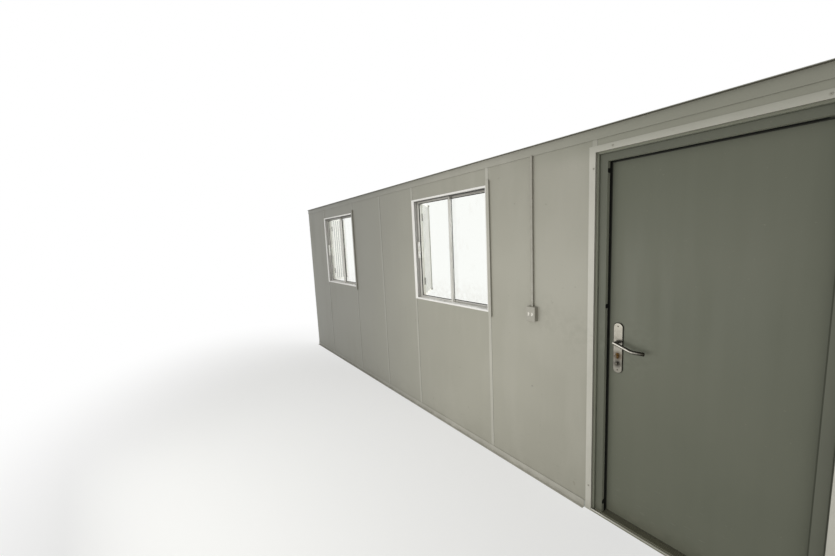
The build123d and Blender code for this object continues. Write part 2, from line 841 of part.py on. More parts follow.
def drop_bolt():
    """Long bolt on the room side of a leaf, in a guide on each of its rails."""
    x = shutter_width - drop_bolt_inset
    y = -shutter_rim - bolt_guide_wall - drop_bolt_radius
    low = window_sill + bolt_guide_margin
    high = window_top - bolt_guide_margin
    shape = rod("z", (x, y), drop_bolt_radius, low, high)
    half = drop_bolt_radius + bolt_guide_wall
    for z in (low, high - bolt_guide_height):
        shape += block(x - half, x + half, y - half, -shutter_rim, z, z + bolt_guide_height)
    return shape


def shutter_hinge(z):
    """Barrel hinge on the window's flange, its web reaching out to the leaf's edge."""
    low = z - shutter_knuckle_length / 2
    high = z + shutter_knuckle_length / 2
    flange_y = -shutter_stand_off
    shape = rod("z", (0, 0), shutter_knuckle_radius, low, high)
    shape += block(-shutter_hinge_plate, 0, flange_y, flange_y + shutter_hinge_gauge, low, high)
    shape += block(-shutter_hinge_gauge, 0, flange_y, 0, low, high)
    return shape


def shutters():
    """Two leaves to a window, fixed as they stand open outside."""
    leaf = shutter_leaf()
    bolt = drop_bolt()
    heights = (window_sill + shutter_hinge_inset, window_top - shutter_hinge_inset)
    leaves = []
    bolts = []
    hinges = []
    for joint in window_joints:
        x0, x1, z0, z1 = window_bounds(joint)
        other_side = Plane(origin=((x0 + x1) / 2, 0, 0), z_dir=(1, 0, 0))
        axis = Pos(x0 + shutter_axis_inset, shutter_axis_y, 0)
        swung = axis * Rot(0, 0, shutter_opening)
        leaves += [swung * leaf, mirror(swung * leaf, about=other_side)]
        bolts.append(swung * bolt)
        for z in heights:
            hinge = axis * shutter_hinge(z)
            hinges += [hinge, mirror(hinge, about=other_side)]
    save("shutters", *leaves)
    save("shutter_bolts", *bolts)
    save("shutter_hinges", *hinges)


def light_switch():
    """Mini trunking down from the cornice to a surface switch with two rockers."""
    switch_top = switch_bottom + switch_height
    half = trunking_side / 2
    save("trunking", block(trunking_x - half, trunking_x + half, inner_face - trunking_side, inner_face,
                           switch_top, cornice_foot))
    x0 = trunking_x - switch_width / 2
    x1 = trunking_x + switch_width / 2
    front = inner_face - switch_depth
    cover_back = front + switch_cover_depth
    back_box = block(x0, x1, cover_back, inner_face, switch_bottom, switch_top)
    save("switch_back_box", fillet(back_box.edges().filter_by(Axis.Y), switch_corner))
    cover = block(x0, x1, front, cover_back, switch_bottom, switch_top)
    cover = fillet(cover.edges().filter_by(Axis.Y), switch_corner)
    cover = chamfer(cover.edges().filter_by_position(Axis.Y, front, front), switch_bevel)
    middle = switch_bottom + switch_height / 2
    low = middle - rocker_height / 2
    high = middle + rocker_height / 2
    seat = front + rocker_seat
    outline = [
        (seat, low), (front - rocker_proud, low), (front, middle), (front - rocker_proud / 3, high), (seat, high),
    ]
    rockers = []
    for x in (trunking_x - rocker_spacing / 2, trunking_x + rocker_spacing / 2):
        left = x - rocker_width / 2
        right = x + rocker_width / 2
        cover -= block(left, right, front - overrun, seat, low, high)
        rockers.append(prism("x", outline, left, right))
    save("switch_cover", cover)
    save("switch_rockers", *rockers)


os.makedirs("parts", exist_ok=True)
wall_frame()
floor_and_ceiling_strips()
wall_panels()
panel_joiners()
door_frame()
door_trims()
door_seal()
frame_plugs()
threshold()
door_hinges()
door_leaf()
handles()
snib()
windows()
shutters()
light_switch()
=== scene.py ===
import math

import bmesh
import bpy
import numpy as np
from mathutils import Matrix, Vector


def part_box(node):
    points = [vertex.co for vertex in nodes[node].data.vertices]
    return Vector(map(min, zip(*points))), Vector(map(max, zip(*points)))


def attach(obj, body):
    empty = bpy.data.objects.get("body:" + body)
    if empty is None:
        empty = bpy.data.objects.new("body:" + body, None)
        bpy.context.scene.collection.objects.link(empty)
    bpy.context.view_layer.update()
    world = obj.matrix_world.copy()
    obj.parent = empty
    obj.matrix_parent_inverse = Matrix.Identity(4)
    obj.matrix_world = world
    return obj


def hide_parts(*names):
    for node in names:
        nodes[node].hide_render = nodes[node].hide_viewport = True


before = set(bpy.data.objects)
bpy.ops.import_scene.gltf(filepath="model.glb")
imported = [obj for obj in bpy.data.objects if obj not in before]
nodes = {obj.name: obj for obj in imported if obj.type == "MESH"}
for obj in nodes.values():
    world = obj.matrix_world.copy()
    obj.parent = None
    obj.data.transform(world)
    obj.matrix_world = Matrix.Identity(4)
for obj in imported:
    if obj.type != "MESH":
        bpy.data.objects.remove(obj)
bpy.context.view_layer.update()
print("frame loaded:", len(nodes), "nodes")


# Places, in millimetres, read from the frame: X along the wall, Y out through it, Z up

def boxMm(node):
    # a node's lowest and highest corner
    return [[round(c * 1000, 3) for c in corner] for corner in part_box(node)]


def spanMm(node, axis):
    # a node's lowest and highest place on one axis
    low, high = boxMm(node)
    return low[axis], high[axis]


alongWall, throughWall, upward = 0, 1, 2
wallFace, outerFace = spanMm("panel_beside_door", throughWall)
trimFace = spanMm("door_trims", throughWall)[0]
lipFace = spanMm("door_head", throughWall)[0]  # the door frame's, towards the room
leafFace, leafBack = spanMm("door_leaf", throughWall)
plateFace = spanMm("snib", throughWall)[1]  # the inside backplate's
jambFace = spanMm("door_jamb_lock_side", alongWall)[1]
hingeSide = spanMm("door_jamb_hinge_side", alongWall)[0]
sealWidth = 12  # what the frame covers of it
sealEdge = spanMm("door_seal", alongWall)[0] + sealWidth
sealTop = spanMm("door_seal", upward)[1] - sealWidth
hubRadius = 10  # a lever's
leverX = sum(spanMm("handle_plates", alongWall)) / 2
leverHeight = spanMm("lever_inside", upward)[1] - hubRadius
windowWidth = 928
windowFoot = spanMm("panels_under_windows", upward)[1]
windowTop = spanMm("panels_over_windows", upward)[0]
farWindow, nearWindowEnd = spanMm("panels_over_windows", alongWall)
windowStarts = (farWindow, nearWindowEnd - windowWidth)
flangeReach = 12  # of a window frame, over the wall outside


# Camera and stage

def setCamera(look):
    data = bpy.data.cameras.new("roomCamera")
    data.lens = look["lens"]
    data.sensor_width = look["sensor"]
    data.clip_start = look["nearest"]
    camera = bpy.data.objects.new("roomCamera", data)
    camera.location = look["place"]
    camera.rotation_euler = [math.radians(a) for a in look["turn"]]
    bpy.context.scene.collection.objects.link(camera)
    bpy.context.scene.camera = camera


setCamera({
    "place": (2.55, -1.94374, 1.69796),
    "turn": (83.2436, 2.7691, 53.2012),
    "lens": 14.366,
    "sensor": 36,
    "nearest": 0.02,
})
bpy.context.scene.view_settings.view_transform = "Standard"


def linearColour(text):
    # sRGB hex to linear, each channel by the standard's curve
    parts = [int(text[i:i + 2], 16) / 255 for i in (1, 3, 5)]
    return [c / 12.92 if c <= 0.04045 else ((c + 0.055) / 1.055) ** 2.4 for c in parts] + [1]


def addNode(tree, kind, inputs=None, out=0, **settings):
    # inputs hold values or sockets, by name or number; gives back the output called or numbered out
    node = tree.nodes.new(kind)
    for name, value in settings.items():
        setattr(node, name, value)
    for key, value in (inputs or {}).items():
        if isinstance(value, bpy.types.NodeSocket):
            tree.links.new(value, node.inputs[key])
        else:
            node.inputs[key].default_value = value
    return node.outputs[out]


def backgroundRays(tree):
    # 1 for a ray that shows the background, straight, through glass or mirrored in metal and gloss
    path = addNode(tree, "ShaderNodeLightPath").node
    seen = addNode(tree, "ShaderNodeMath", {0: path.outputs["Is Camera Ray"],
                                            1: path.outputs["Is Transmission Ray"]}, operation="MAXIMUM")
    return addNode(tree, "ShaderNodeMath", {0: seen, 1: path.outputs["Is Glossy Ray"]}, operation="MAXIMUM")


def setWorld(look):
    # a soft pale light all round, and plain white for the rays that show the background
    world = bpy.data.worlds.new("studio")
    world.use_nodes = True
    tree = world.node_tree
    strength = addNode(tree, "ShaderNodeMapRange", {"Value": backgroundRays(tree),
                                                    "To Min": look["ambient"], "To Max": look["backdrop"]})
    colour = addNode(tree, "ShaderNodeMix", {0: backgroundRays(tree), 6: linearColour(look["skyTint"]),
                                             7: linearColour("#ffffff")}, out=2, data_type="RGBA")
    tree.links.new(colour, tree.nodes["Background"].inputs["Color"])
    tree.links.new(strength, tree.nodes["Background"].inputs["Strength"])
    bpy.context.scene.world = world


setWorld({"ambient": 0.55, "backdrop": 1.0, "skyTint": "#fffffd"})


def softLamp(name, look):
    data = bpy.data.lights.new(name, "AREA")
    data.shape = "RECTANGLE"
    data.size, data.size_y = look["size"]
    data.energy = look["watts"]
    data.color = linearColour(look["tint"])[:3]
    lamp = bpy.data.objects.new(name, data)
    lamp.location = look["place"]
    lamp.rotation_euler = (Vector(look["aim"]) - Vector(look["place"])).to_track_quat("-Z", "Y").to_euler()
    lamp.visible_camera = False
    bpy.context.scene.collection.objects.link(lamp)


softLamp("roomLamp", {"place": (0.5, -2.6, 1.0), "aim": (0.1, 0, 1.2), "size": (3, 1.2), "watts": 27,
                      "tint": "#fffefa"})
softLamp("yardLamp", {"place": (2.5, 4.5, 3.2), "aim": (-0.8, 0, 1.3), "size": (5, 3), "watts": 260,
                      "tint": "#fdfeff"})


def layFloor(look):
    # a pale square floor; on background rays it is part white, by the distance from a point before the wall
    # with X shortened, so that it fades out in an oval and keeps the wall's shadow
    size = look["reach"]
    mesh = bpy.data.meshes.new("floor")
    corners = [(-size, -size, 0), (size, -size, 0), (size, size, 0), (-size, size, 0)]
    mesh.from_pydata(corners, [], [(0, 1, 2, 3)])
    floor = bpy.data.objects.new("floor", mesh)
    bpy.context.scene.collection.objects.link(floor)
    material = bpy.data.materials.new("paleFloor")
    material.use_nodes = True
    tree = material.node_tree
    shader = tree.nodes["Principled BSDF"]
    shader.inputs["Base Color"].default_value = linearColour(look["colour"])
    shader.inputs["Roughness"].default_value = look["rough"]
    coords = addNode(tree, "ShaderNodeTexCoord", out="Object")
    shifted = addNode(tree, "ShaderNodeVectorMath", {0: coords, 1: (0, look["forward"], 0)})
    oval = addNode(tree, "ShaderNodeVectorMath", {0: shifted, 1: (look["shorten"], 1, 0)},
                   operation="MULTIPLY")
    away = addNode(tree, "ShaderNodeVectorMath", {0: oval}, out="Value", operation="LENGTH")
    fade = addNode(tree, "ShaderNodeMapRange", {"Value": away, "From Min": look["clear"],
                                                "From Max": look["gone"], "To Min": look["lift"]},
                   interpolation_type="SMOOTHSTEP")
    share = addNode(tree, "ShaderNodeMath", {0: fade, 1: backgroundRays(tree)}, operation="MULTIPLY")
    white = addNode(tree, "ShaderNodeEmission", {"Color": (1, 1, 1, 1), "Strength": 1.0})
    mixed = addNode(tree, "ShaderNodeMixShader", {0: share, 1: shader.outputs[0], 2: white})
    tree.links.new(mixed, tree.nodes["Material Output"].inputs["Surface"])
    mesh.materials.append(material)


layFloor({"reach": 40, "colour": "#efefec", "rough": 0.9, "forward": 1.0, "shorten": 0.55, "clear": 0.9,
          "gone": 3.0, "lift": 0.5})
print("camera, lamps and floor set")


# Finishes. Patterns run on object coordinates, in metres; their sizes and places are given in millimetres.
# A cloud is (size, low level, high level, detail, stretch along X, Y and Z), without the stretch where it is
# even, a pair of places is where a mask starts and where it is full, and a share is how much of it shows.

uniform = {"metallic": "Metallic", "ior": "IOR", "specular": "Specular IOR Level",
           "spread": "Anisotropic", "clearness": "Transmission Weight"}


def startMaterial(name, look):
    # numbers that are the same all over go straight on the shader
    material = bpy.data.materials.new(name)
    material.use_nodes = True
    tree = material.node_tree
    shader = tree.nodes["Principled BSDF"]
    for key, socket in uniform.items():
        if key in look:
            shader.inputs[socket].default_value = look[key]
    coords = addNode(tree, "ShaderNodeTexCoord", out="Object")
    return material, tree, shader, coords


def cloudMask(tree, coords, cloud):
    # soft noise in patches of the cloud's size, 0 up to its low level and 1 from its high one; coordinates
    # multiplied by a stretch under 1 draw the patches out into streaks along that axis
    size, low, high, detail, *stretch = cloud
    if stretch:
        coords = addNode(tree, "ShaderNodeVectorMath", {0: coords, 1: stretch[0]}, operation="MULTIPLY")
    noise = addNode(tree, "ShaderNodeTexNoise", {"Vector": coords, "Scale": 1000 / size, "Detail": detail})
    return addNode(tree, "ShaderNodeMapRange", {"Value": noise, "From Min": low, "From Max": high})


def rampMask(tree, coords, places, axis=upward):
    # 0 at the first place on an axis, 1 at the second, eased between
    along = addNode(tree, "ShaderNodeSeparateXYZ", {0: coords}, out=axis)
    return addNode(tree, "ShaderNodeMapRange", {"Value": along, "From Min": places[0] / 1000,
                                                "From Max": places[1] / 1000},
                   interpolation_type="SMOOTHSTEP")


def nearMask(tree, coords, place, reach):
    # 1 at a place on the wall, fading to 0 at a distance from it
    away = addNode(tree, "ShaderNodeVectorMath", {0: coords, 1: [c / 1000 for c in place]}, out="Value",
                   operation="DISTANCE")
    return addNode(tree, "ShaderNodeMapRange", {"Value": away, "From Min": reach / 1000, "From Max": 0},
                   interpolation_type="SMOOTHSTEP")


def turnedMask(tree, levels=(0.9, 0.5)):
    # 0 on faces towards the room or the yard, 1 on faces turned sideways, up or down: the normal's share
    # along Y taken from the first level to the second
    normal = addNode(tree, "ShaderNodeTexCoord", out="Normal")
    through = addNode(tree, "ShaderNodeSeparateXYZ", {0: normal}, out=throughWall)
    share = addNode(tree, "ShaderNodeMath", {0: through}, operation="ABSOLUTE")
    return addNode(tree, "ShaderNodeMapRange", {"Value": share, "From Min": levels[0], "From Max": levels[1]})


def shadedFacesMask(tree):
    # 1 on faces turned sideways or down, which get painted shade: the turned faces less those that look up
    normal = addNode(tree, "ShaderNodeTexCoord", out="Normal")
    height = addNode(tree, "ShaderNodeSeparateXYZ", {0: normal}, out=upward)
    upper = addNode(tree, "ShaderNodeMapRange", {"Value": height, "From Min": 0.2, "From Max": 0.8})
    return addNode(tree, "ShaderNodeMath", {0: turnedMask(tree), 1: upper}, operation="SUBTRACT",
                   use_clamp=True)


def overlap(tree, *masks):
    # where masks meet, as their product; the last may be a plain share
    total = masks[0]
    for mask in masks[1:]:
        total = addNode(tree, "ShaderNodeMath", {0: total, 1: mask}, operation="MULTIPLY")
    return total


def layColour(tree, under, over, *masks):
    # one colour laid over another where the masks meet; a colour is a socket or an sRGB hex value
    inputs = {0: overlap(tree, *masks), 6: under, 7: over}
    for key in (6, 7):
        if isinstance(inputs[key], str):
            inputs[key] = linearColour(inputs[key])
    return addNode(tree, "ShaderNodeMix", inputs, out=2, data_type="RGBA")


def maskOf(tree, coords, look, mask):
    # a mask as it is, or the look's cloud of that name
    return cloudMask(tree, coords, look[mask]) if isinstance(mask, str) else mask


def layAll(tree, coords, colour, look, layers):
    # lays colours of the look one over another; a layer names the colour and its share, then gives its masks
    for over, share, *masks in layers:
        masks = [maskOf(tree, coords, look, mask) for mask in masks]
        colour = layColour(tree, colour, look[over], *masks, look[share])
    return colour


def dress(tree, coords, shader, colour, look, worn, reliefs):
    # joins the colour, the roughness, by where it is worn, and the reliefs, each a mask and its depth's name
    tree.links.new(colour, shader.inputs["Base Color"])
    fresh, used = look["rough"]
    roughness = addNode(tree, "ShaderNodeMapRange", {"Value": worn, "To Min": fresh, "To Max": used})
    tree.links.new(roughness, shader.inputs["Roughness"])
    normal = None
    for mask, depth in reliefs:
        inputs = {"Height": maskOf(tree, coords, look, mask), "Distance": look[depth] / 1000, "Strength": 1.0}
        if normal is not None:
            inputs["Normal"] = normal
        normal = addNode(tree, "ShaderNodeBump", inputs)
    tree.links.new(normal, shader.inputs["Normal"])


def coatedSteel(name, look):
    # Plastic-coated steel sheet: a thick film rolled on in the mill and embossed. To the eye it is satin,
    # with a fine grain, slow waves of the sheet, rubbed patches, painted shade that greys the coat towards
    # the far end and over the door, painted shade on cut edges and returns turned sideways or down, and dust
    # and boot marks low down.
    material, tree, shader, coords = startMaterial(name, look)
    colour = layColour(tree, look["base"], look["shade"], cloudMask(tree, coords, look["drift"]))
    wipes = cloudMask(tree, coords, look["wipes"])
    colour = layAll(tree, coords, colour, look, [
        ("wipe", "wipeShare", wipes),
        # painted shade: greyer towards the far end
        ("faded", "farShadeShare", rampMask(tree, coords, look["farShadeAlong"], alongWall)),
        # painted shade over the door
        ("doorHeadShade", "doorHeadShadeShare", rampMask(tree, coords, look["doorHeadShadeUp"]),
         rampMask(tree, coords, look["doorHeadShadeAlong"], alongWall)),
        ("grime", "spotShare", "spots"),
        *[("grime", "handShare", nearMask(tree, coords, *hand), "smudges") for hand in look["hands"]],
        ("grime", "dustShare", rampMask(tree, coords, look["dustUp"]), "dusts"),
        ("scuff", "scuffShare", rampMask(tree, coords, look["scuffUp"]), "scuffs"),
        # painted shade on faces turned sideways or down
        ("side", "sideShadeShare", shadedFacesMask(tree)),
    ])
    grain = addNode(tree, "ShaderNodeTexVoronoi", {"Vector": coords, "Scale": 1000 / look["grainMm"]},
                    feature="SMOOTH_F1")
    dress(tree, coords, shader, colour, look, wipes, [("waves", "waveDepth"), (grain, "grainDepth")])
    return material


# the panels, seen flat on: a warm grey sheet, the plainest and the most worn
wallLook = {
    "ior": 1.49, "specular": 0.28, "rough": (0.36, 0.52),
    "base": "#aeaca0", "shade": "#a7a599", "drift": (900, 0.35, 0.65, 2),
    "wipe": "#b4b2a7", "wipes": (130, 0.5, 0.75, 4, (1, 1, 0.22)), "wipeShare": 0.45,
    # painted shade: the coat greyer towards the far end and over the door
    "faded": "#868680", "farShadeAlong": (900, -1300), "farShadeShare": 0.64,
    "doorHeadShade": "#868779", "doorHeadShadeUp": (2050, 2180), "doorHeadShadeAlong": (1000, 1900), "doorHeadShadeShare": 0.62,
    "grime": "#6f6a5c", "spots": (46, 0.69, 0.74, 5), "spotShare": 0.22,
    "hands": [((1335, wallFace, 1165), 190), ((1560, wallFace, 1100), 240)],
    "smudges": (34, 0.42, 0.68, 5), "handShare": 0.12,
    "dustUp": (260, 0), "dusts": (90, 0.3, 0.7, 6), "dustShare": 0.16,
    "scuff": "#5d5a52", "scuffUp": (520, 60), "scuffs": (26, 0.66, 0.7, 2, (0.35, 1, 2.2)),
    "scuffShare": 0.16,
    # painted shade on faces turned sideways or down
    "side": "#7a776c", "sideShadeShare": 0.3,
    "grainMm": 5, "grainDepth": 0.05, "waves": (420, 0, 1, 1), "waveDepth": 0.9,
}
# folded strips of the same sheet: smoother and cleaner, with returns darkened as painted shade
trimLook = {
    **wallLook,
    "rough": (0.3, 0.46),
    "base": "#bfbdb3", "shade": "#b7b5ab", "wipe": "#c8c6bd", "drift": (500, 0.35, 0.65, 2),
    "hands": [((1630, trimFace, 1090), 160)], "dustUp": (90, 0), "dustShare": 0.3,
    "side": "#6b685c", "sideShadeShare": 0.6,
    "grainMm": 3, "grainDepth": 0.02, "waves": (300, 0, 1, 1), "waveDepth": 0.4,
}
# round the door, painted paler as painted light
litDoorTrimLook = {**trimLook, "base": "#cccac0", "shade": "#c4c2b8", "wipe": "#d4d2c9", "spotShare": 0.12}
# over the joints between panels, with a painted shadow line down each side
stripLook = {**trimLook, "side": "#45423a", "sideShadeShare": 0.95}
# under the ceiling, painted darker as painted shade
shadedCorniceLook = {**stripLook, "base": "#b0aea3", "shade": "#a8a69b", "wipe": "#b7b5ab"}
# round the windows, in daylight, so nearly white, their reveals darkened as painted shade
windowTrimLook = {
    **trimLook,
    "base": "#faf9f6", "shade": "#f3f1ee", "wipe": "#fbfaf8", "farShadeShare": 0,
    "grime": "#96938c", "spotShare": 0.1, "side": "#7d7a74", "sideShadeShare": 0.75,
    "hands": [((-40, trimFace, 1130), 150), ((800, trimFace, 1130), 150)], "handShare": 0.1,
}
wallCoating = coatedSteel("plasticCoatedWallSteel", wallLook)
trimCoating = coatedSteel("coatedSteelTrim", trimLook)
litDoorTrimCoating = coatedSteel("litCoatedSteelDoorTrim", litDoorTrimLook)
stripCoating = coatedSteel("coatedSteelStrip", stripLook)
shadedCorniceCoating = coatedSteel("shadedCoatedSteelCornice", shadedCorniceLook)
windowTrimCoating = coatedSteel("coatedSteelWindowTrim", windowTrimLook)


def doorPaint(name, look):
    # Grey-green solvent paint sprayed on steel: satin, with orange peel, faint bands in height, rubs round
    # the handle where hands touch it, edges and reveals painted paler as painted light, a paler lip on the
    # frame, kick marks low down, a film of dust at the foot and, on the leaf, a painted shadow: a black line
    # beside the seal.
    material, tree, shader, coords = startMaterial(name, look)
    colour = layColour(tree, look["base"], look["shade"], cloudMask(tree, coords, look["drift"]))
    bands = cloudMask(tree, coords, look["bands"])
    touched = overlap(tree, nearMask(tree, coords, look["handAt"], look["handReach"]),
                      cloudMask(tree, coords, look["smudges"]))
    # the seal's black line, a painted shadow, along the lock side and under the head
    width = look["sealShadowMm"]
    side = rampMask(tree, coords, (sealEdge + width, sealEdge + width / 2), alongWall)
    top = rampMask(tree, coords, (sealTop - width, sealTop - width / 2))
    colour = layAll(tree, coords, colour, look, [
        ("band", "bandShare", bands),
        ("polish", "handShare", touched),
        ("scratch", "scratchShare", rampMask(tree, coords, look["kickUp"]), "scratches"),
        ("dust", "dustShare", rampMask(tree, coords, look["dustUp"]), "dusts"),
        ("dust", "fleckShare", "flecks"),
        # turned faces painted paler as painted light; below, the lip simply paler
        ("paler", "litFacesShare", turnedMask(tree)),
        ("paler", "lipShare", rampMask(tree, coords, (lipFace + 5, lipFace + 2), throughWall)),
        # painted shadow: the seal's black line on the leaf
        ("sealShadow", "sealShadowShare", addNode(tree, "ShaderNodeMath", {0: side, 1: top}, operation="MAXIMUM")),
    ])
    worn = addNode(tree, "ShaderNodeMath", {0: bands, 1: touched}, operation="MAXIMUM")
    dress(tree, coords, shader, colour, look, worn, [("waves", "waveDepth"), ("peel", "peelDepth")])
    return material


# the leaf: rubbed round the handle, with the seal's black line of painted shadow and the widest waves
leafLook = {
    "ior": 1.5, "specular": 0.3, "rough": (0.5, 0.38),
    "base": "#6d6f61", "shade": "#676a5c", "drift": (700, 0.3, 0.7, 2),
    "band": "#737567", "bands": (70, 0.35, 0.7, 2, (1, 1, 0.06)), "bandShare": 0.15,
    "polish": "#7b7e71", "handAt": (leverX + 40, leafFace, leverHeight - 30), "handReach": 260,
    "smudges": (30, 0.4, 0.62, 5), "handShare": 0.35,
    "scratch": "#8e9084", "kickUp": (420, 40), "scratches": (20, 0.655, 0.69, 3, (0.3, 1, 2.6)),
    "scratchShare": 0.3,
    "dust": "#8b887a", "dustUp": (150, 0), "dusts": (60, 0.25, 0.7, 6), "dustShare": 0.35,
    "flecks": (12, 0.72, 0.76, 2), "fleckShare": 0.3,
    # turned faces painted paler as painted light
    "paler": "#7d8071", "litFacesShare": 0.3, "lipShare": 0,
    # painted shadow beside the seal
    "sealShadow": "#1b1b17", "sealShadowMm": 5, "sealShadowShare": 0.85,
    "peel": (5, 0, 1, 2), "peelDepth": 0.05, "waves": (520, 0, 1, 1), "waveDepth": 1.2,
}
# jambs and head: stiffer, so flatter, their reveals painted paler as painted light and their lip paler
frameLook = {
    **leafLook,
    "base": "#6a6c5f", "shade": "#64665a", "band": "#707266",
    "handAt": (1700, leafFace, leverHeight), "handReach": 200, "kickUp": (300, 40), "dustUp": (110, 0),
    # reveals painted paler as painted light
    "paler": "#8f9182", "litFacesShare": 0.75, "lipShare": 0.85, "sealShadowShare": 0, "waveDepth": 0.4,
}
leafPaint = doorPaint("satinDoorPaint", leafLook)
framePaint = doorPaint("satinFramePaint", frameLook)


def galvanisedSheet(name, look):
    # Hot-dip galvanised sheet under a thin primer: crystals of slightly different greys, white bloom in
    # patches, and rain streaks down the outside.
    material, tree, shader, coords = startMaterial(name, look)
    crystals = addNode(tree, "ShaderNodeTexVoronoi", {"Vector": coords, "Scale": 1000 / look["crystalMm"]},
                       out="Color")
    shade = addNode(tree, "ShaderNodeSeparateXYZ", {0: crystals})
    bloom = cloudMask(tree, coords, look["blooms"])
    colour = layAll(tree, coords, look["base"], look, [
        ("crystal", "crystalShare", shade),
        ("bloom", "bloomShare", bloom),
        ("streak", "streakShare", "streaks"),
    ])
    dress(tree, coords, shader, colour, look, bloom, [(shade, "crystalDepth"), (bloom, "bloomDepth")])
    return material


galvanised = galvanisedSheet("primedGalvanisedSteel", {
    "metallic": 0.35, "rough": (0.42, 0.62),
    "base": "#b0b1aa", "crystal": "#a3a59f", "crystalMm": 14, "crystalShare": 0.5, "crystalDepth": 0.02,
    "bloom": "#bfc0ba", "blooms": (120, 0.5, 0.72, 5), "bloomShare": 0.5, "bloomDepth": 0.03,
    "streak": "#8b8980", "streaks": (22, 0.52, 0.74, 4, (1, 1, 0.08)), "streakShare": 0.4,
})


def rollFormedPaint(name, look):
    # White paint stoved on thin ribbed sheet: flat and chalked by weather, painted shade on the ribs'
    # flanks, rust starting at its top and bottom edges, and rain streaks that run down from them.
    material, tree, shader, coords = startMaterial(name, look)
    chalk = cloudMask(tree, coords, look["chalks"])
    edges = addNode(tree, "ShaderNodeMath", {0: rampMask(tree, coords, look["footUp"]),
                                             1: rampMask(tree, coords, look["headUp"])}, operation="MAXIMUM")
    rust = overlap(tree, edges, cloudMask(tree, coords, look["rusts"]))
    colour = layAll(tree, coords, layColour(tree, look["base"], look["chalk"], chalk), look, [
        ("streak", "streakShare", "streaks"),
        # painted shade on the ribs' flanks
        ("flankShade", "flankShadeShare", turnedMask(tree, look["flankLevels"])),
        ("rust", "rustShare", rust),
    ])
    dress(tree, coords, shader, colour, look, chalk, [("pits", "pitDepth"), (rust, "rustDepth")])
    return material


shutterPaint = rollFormedPaint("stovedSheetPaint", {
    "ior": 1.5, "rough": (0.45, 0.65),
    "base": "#f0efe9", "chalk": "#e8e7e1", "chalks": (160, 0.35, 0.7, 4),
    "streak": "#b5b3ad", "streaks": (26, 0.55, 0.8, 4, (1, 1, 0.05)), "streakShare": 0.25,
    # painted shade on the ribs' flanks
    "flankShade": "#8f8f92", "flankLevels": (0.6, 0.3), "flankShadeShare": 0.7,
    "rust": "#7c4a2a", "rusts": (18, 0.56, 0.66, 6), "rustShare": 0.6, "rustDepth": 0.15,
    "footUp": (windowFoot + 40, windowFoot), "headUp": (windowTop - 30, windowTop),
    "pits": (7, 0.5, 0.9, 3), "pitDepth": 0.03,
})


def powderCoat(name, look):
    # White polyester powder baked on extruded aluminium: even, with a fine peel, grey dirt where hands slide
    # the sashes and in the low corners where water stands, painted shade under the head, and on the frames
    # near-black painted shade on the room's side.
    material, tree, shader, coords = startMaterial(name, look)
    colour = layColour(tree, look["base"], look["shade"], cloudMask(tree, coords, look["drift"]))
    rubs = cloudMask(tree, coords, look["rubs"])
    colour = layAll(tree, coords, colour, look, [
        ("dirt", "dirtShare", rampMask(tree, coords, look["dirtUp"]), "dirts"),
        ("rub", "rubShare", rubs),
        # painted shade under the head, in the dirt's colour
        ("dirt", "underShadeShare", rampMask(tree, coords, look["underShadeUp"])),
        # near-black painted shade on the frames' room side
        ("trackShade", "trackShadeShare", rampMask(tree, coords, look["trackUp"]),
         rampMask(tree, coords, look["trackThrough"], throughWall)),
    ])
    dress(tree, coords, shader, colour, look, rubs, [("peel", "peelDepth")])
    return material


# sashes are wiped; the frames get near-black painted shade on the room's side
sashLook = {
    "ior": 1.5, "rough": (0.28, 0.42),
    "base": "#dfddd7", "shade": "#d6d4ce", "drift": (240, 0.35, 0.65, 3),
    "dirt": "#8a8780", "dirtUp": (windowFoot + 90, windowFoot + 20),
    "dirts": (24, 0.35, 0.62, 6, (0.5, 1, 1)), "dirtShare": 0.12,
    "rub": "#bdbab2", "rubs": (32, 0.6, 0.72, 4, (1, 1, 0.3)), "rubShare": 0.3,
    # painted shade under the head
    "underShadeUp": (windowTop - 55, windowTop - 25), "underShadeShare": 0.65,
    # near-black painted shade on the frames' room side
    "trackShade": "#2d2c2e", "trackUp": (windowFoot + 15, windowFoot + 40), "trackThrough": (30, 0), "trackShadeShare": 0,
    "peel": (3, 0, 1, 2), "peelDepth": 0.03,
}
sashCoating = powderCoat("powderCoatedAluminium", sashLook)
trackCoating = powderCoat("shadedTrackPowderCoat", {**sashLook, "trackShadeShare": 0.94})


def floatGlass(name, look):
    # Float glass: clear, flat to the eye, faintly green in its depth, with a haze of dust low down and
    # dried drops and finger smears that scatter a little light.
    material, tree, shader, coords = startMaterial(name, look)
    smears = overlap(tree, cloudMask(tree, coords, look["smears"]), look["smearShare"])
    haze = overlap(tree, rampMask(tree, coords, look["hazeUp"]), cloudMask(tree, coords, look["hazes"]))
    soiled = addNode(tree, "ShaderNodeMath", {0: smears, 1: haze}, operation="MAXIMUM")
    colour = layColour(tree, look["clear"], look["dusty"], soiled)
    dress(tree, coords, shader, colour, look, soiled, [("waves", "waveDepth")])
    return material


glass = floatGlass("clearFloatGlass", {
    "ior": 1.52, "clearness": 1.0, "rough": (0.0, 0.07),
    "clear": "#fafcf8", "dusty": "#eeeee8", "smears": (60, 0.58, 0.72, 4, (1, 1, 0.4)), "smearShare": 0.25,
    "hazeUp": (windowFoot + 260, windowFoot + 50), "hazes": (40, 0.3, 0.8, 5),
    "waves": (260, 0, 1, 0), "waveDepth": 0.05,
})


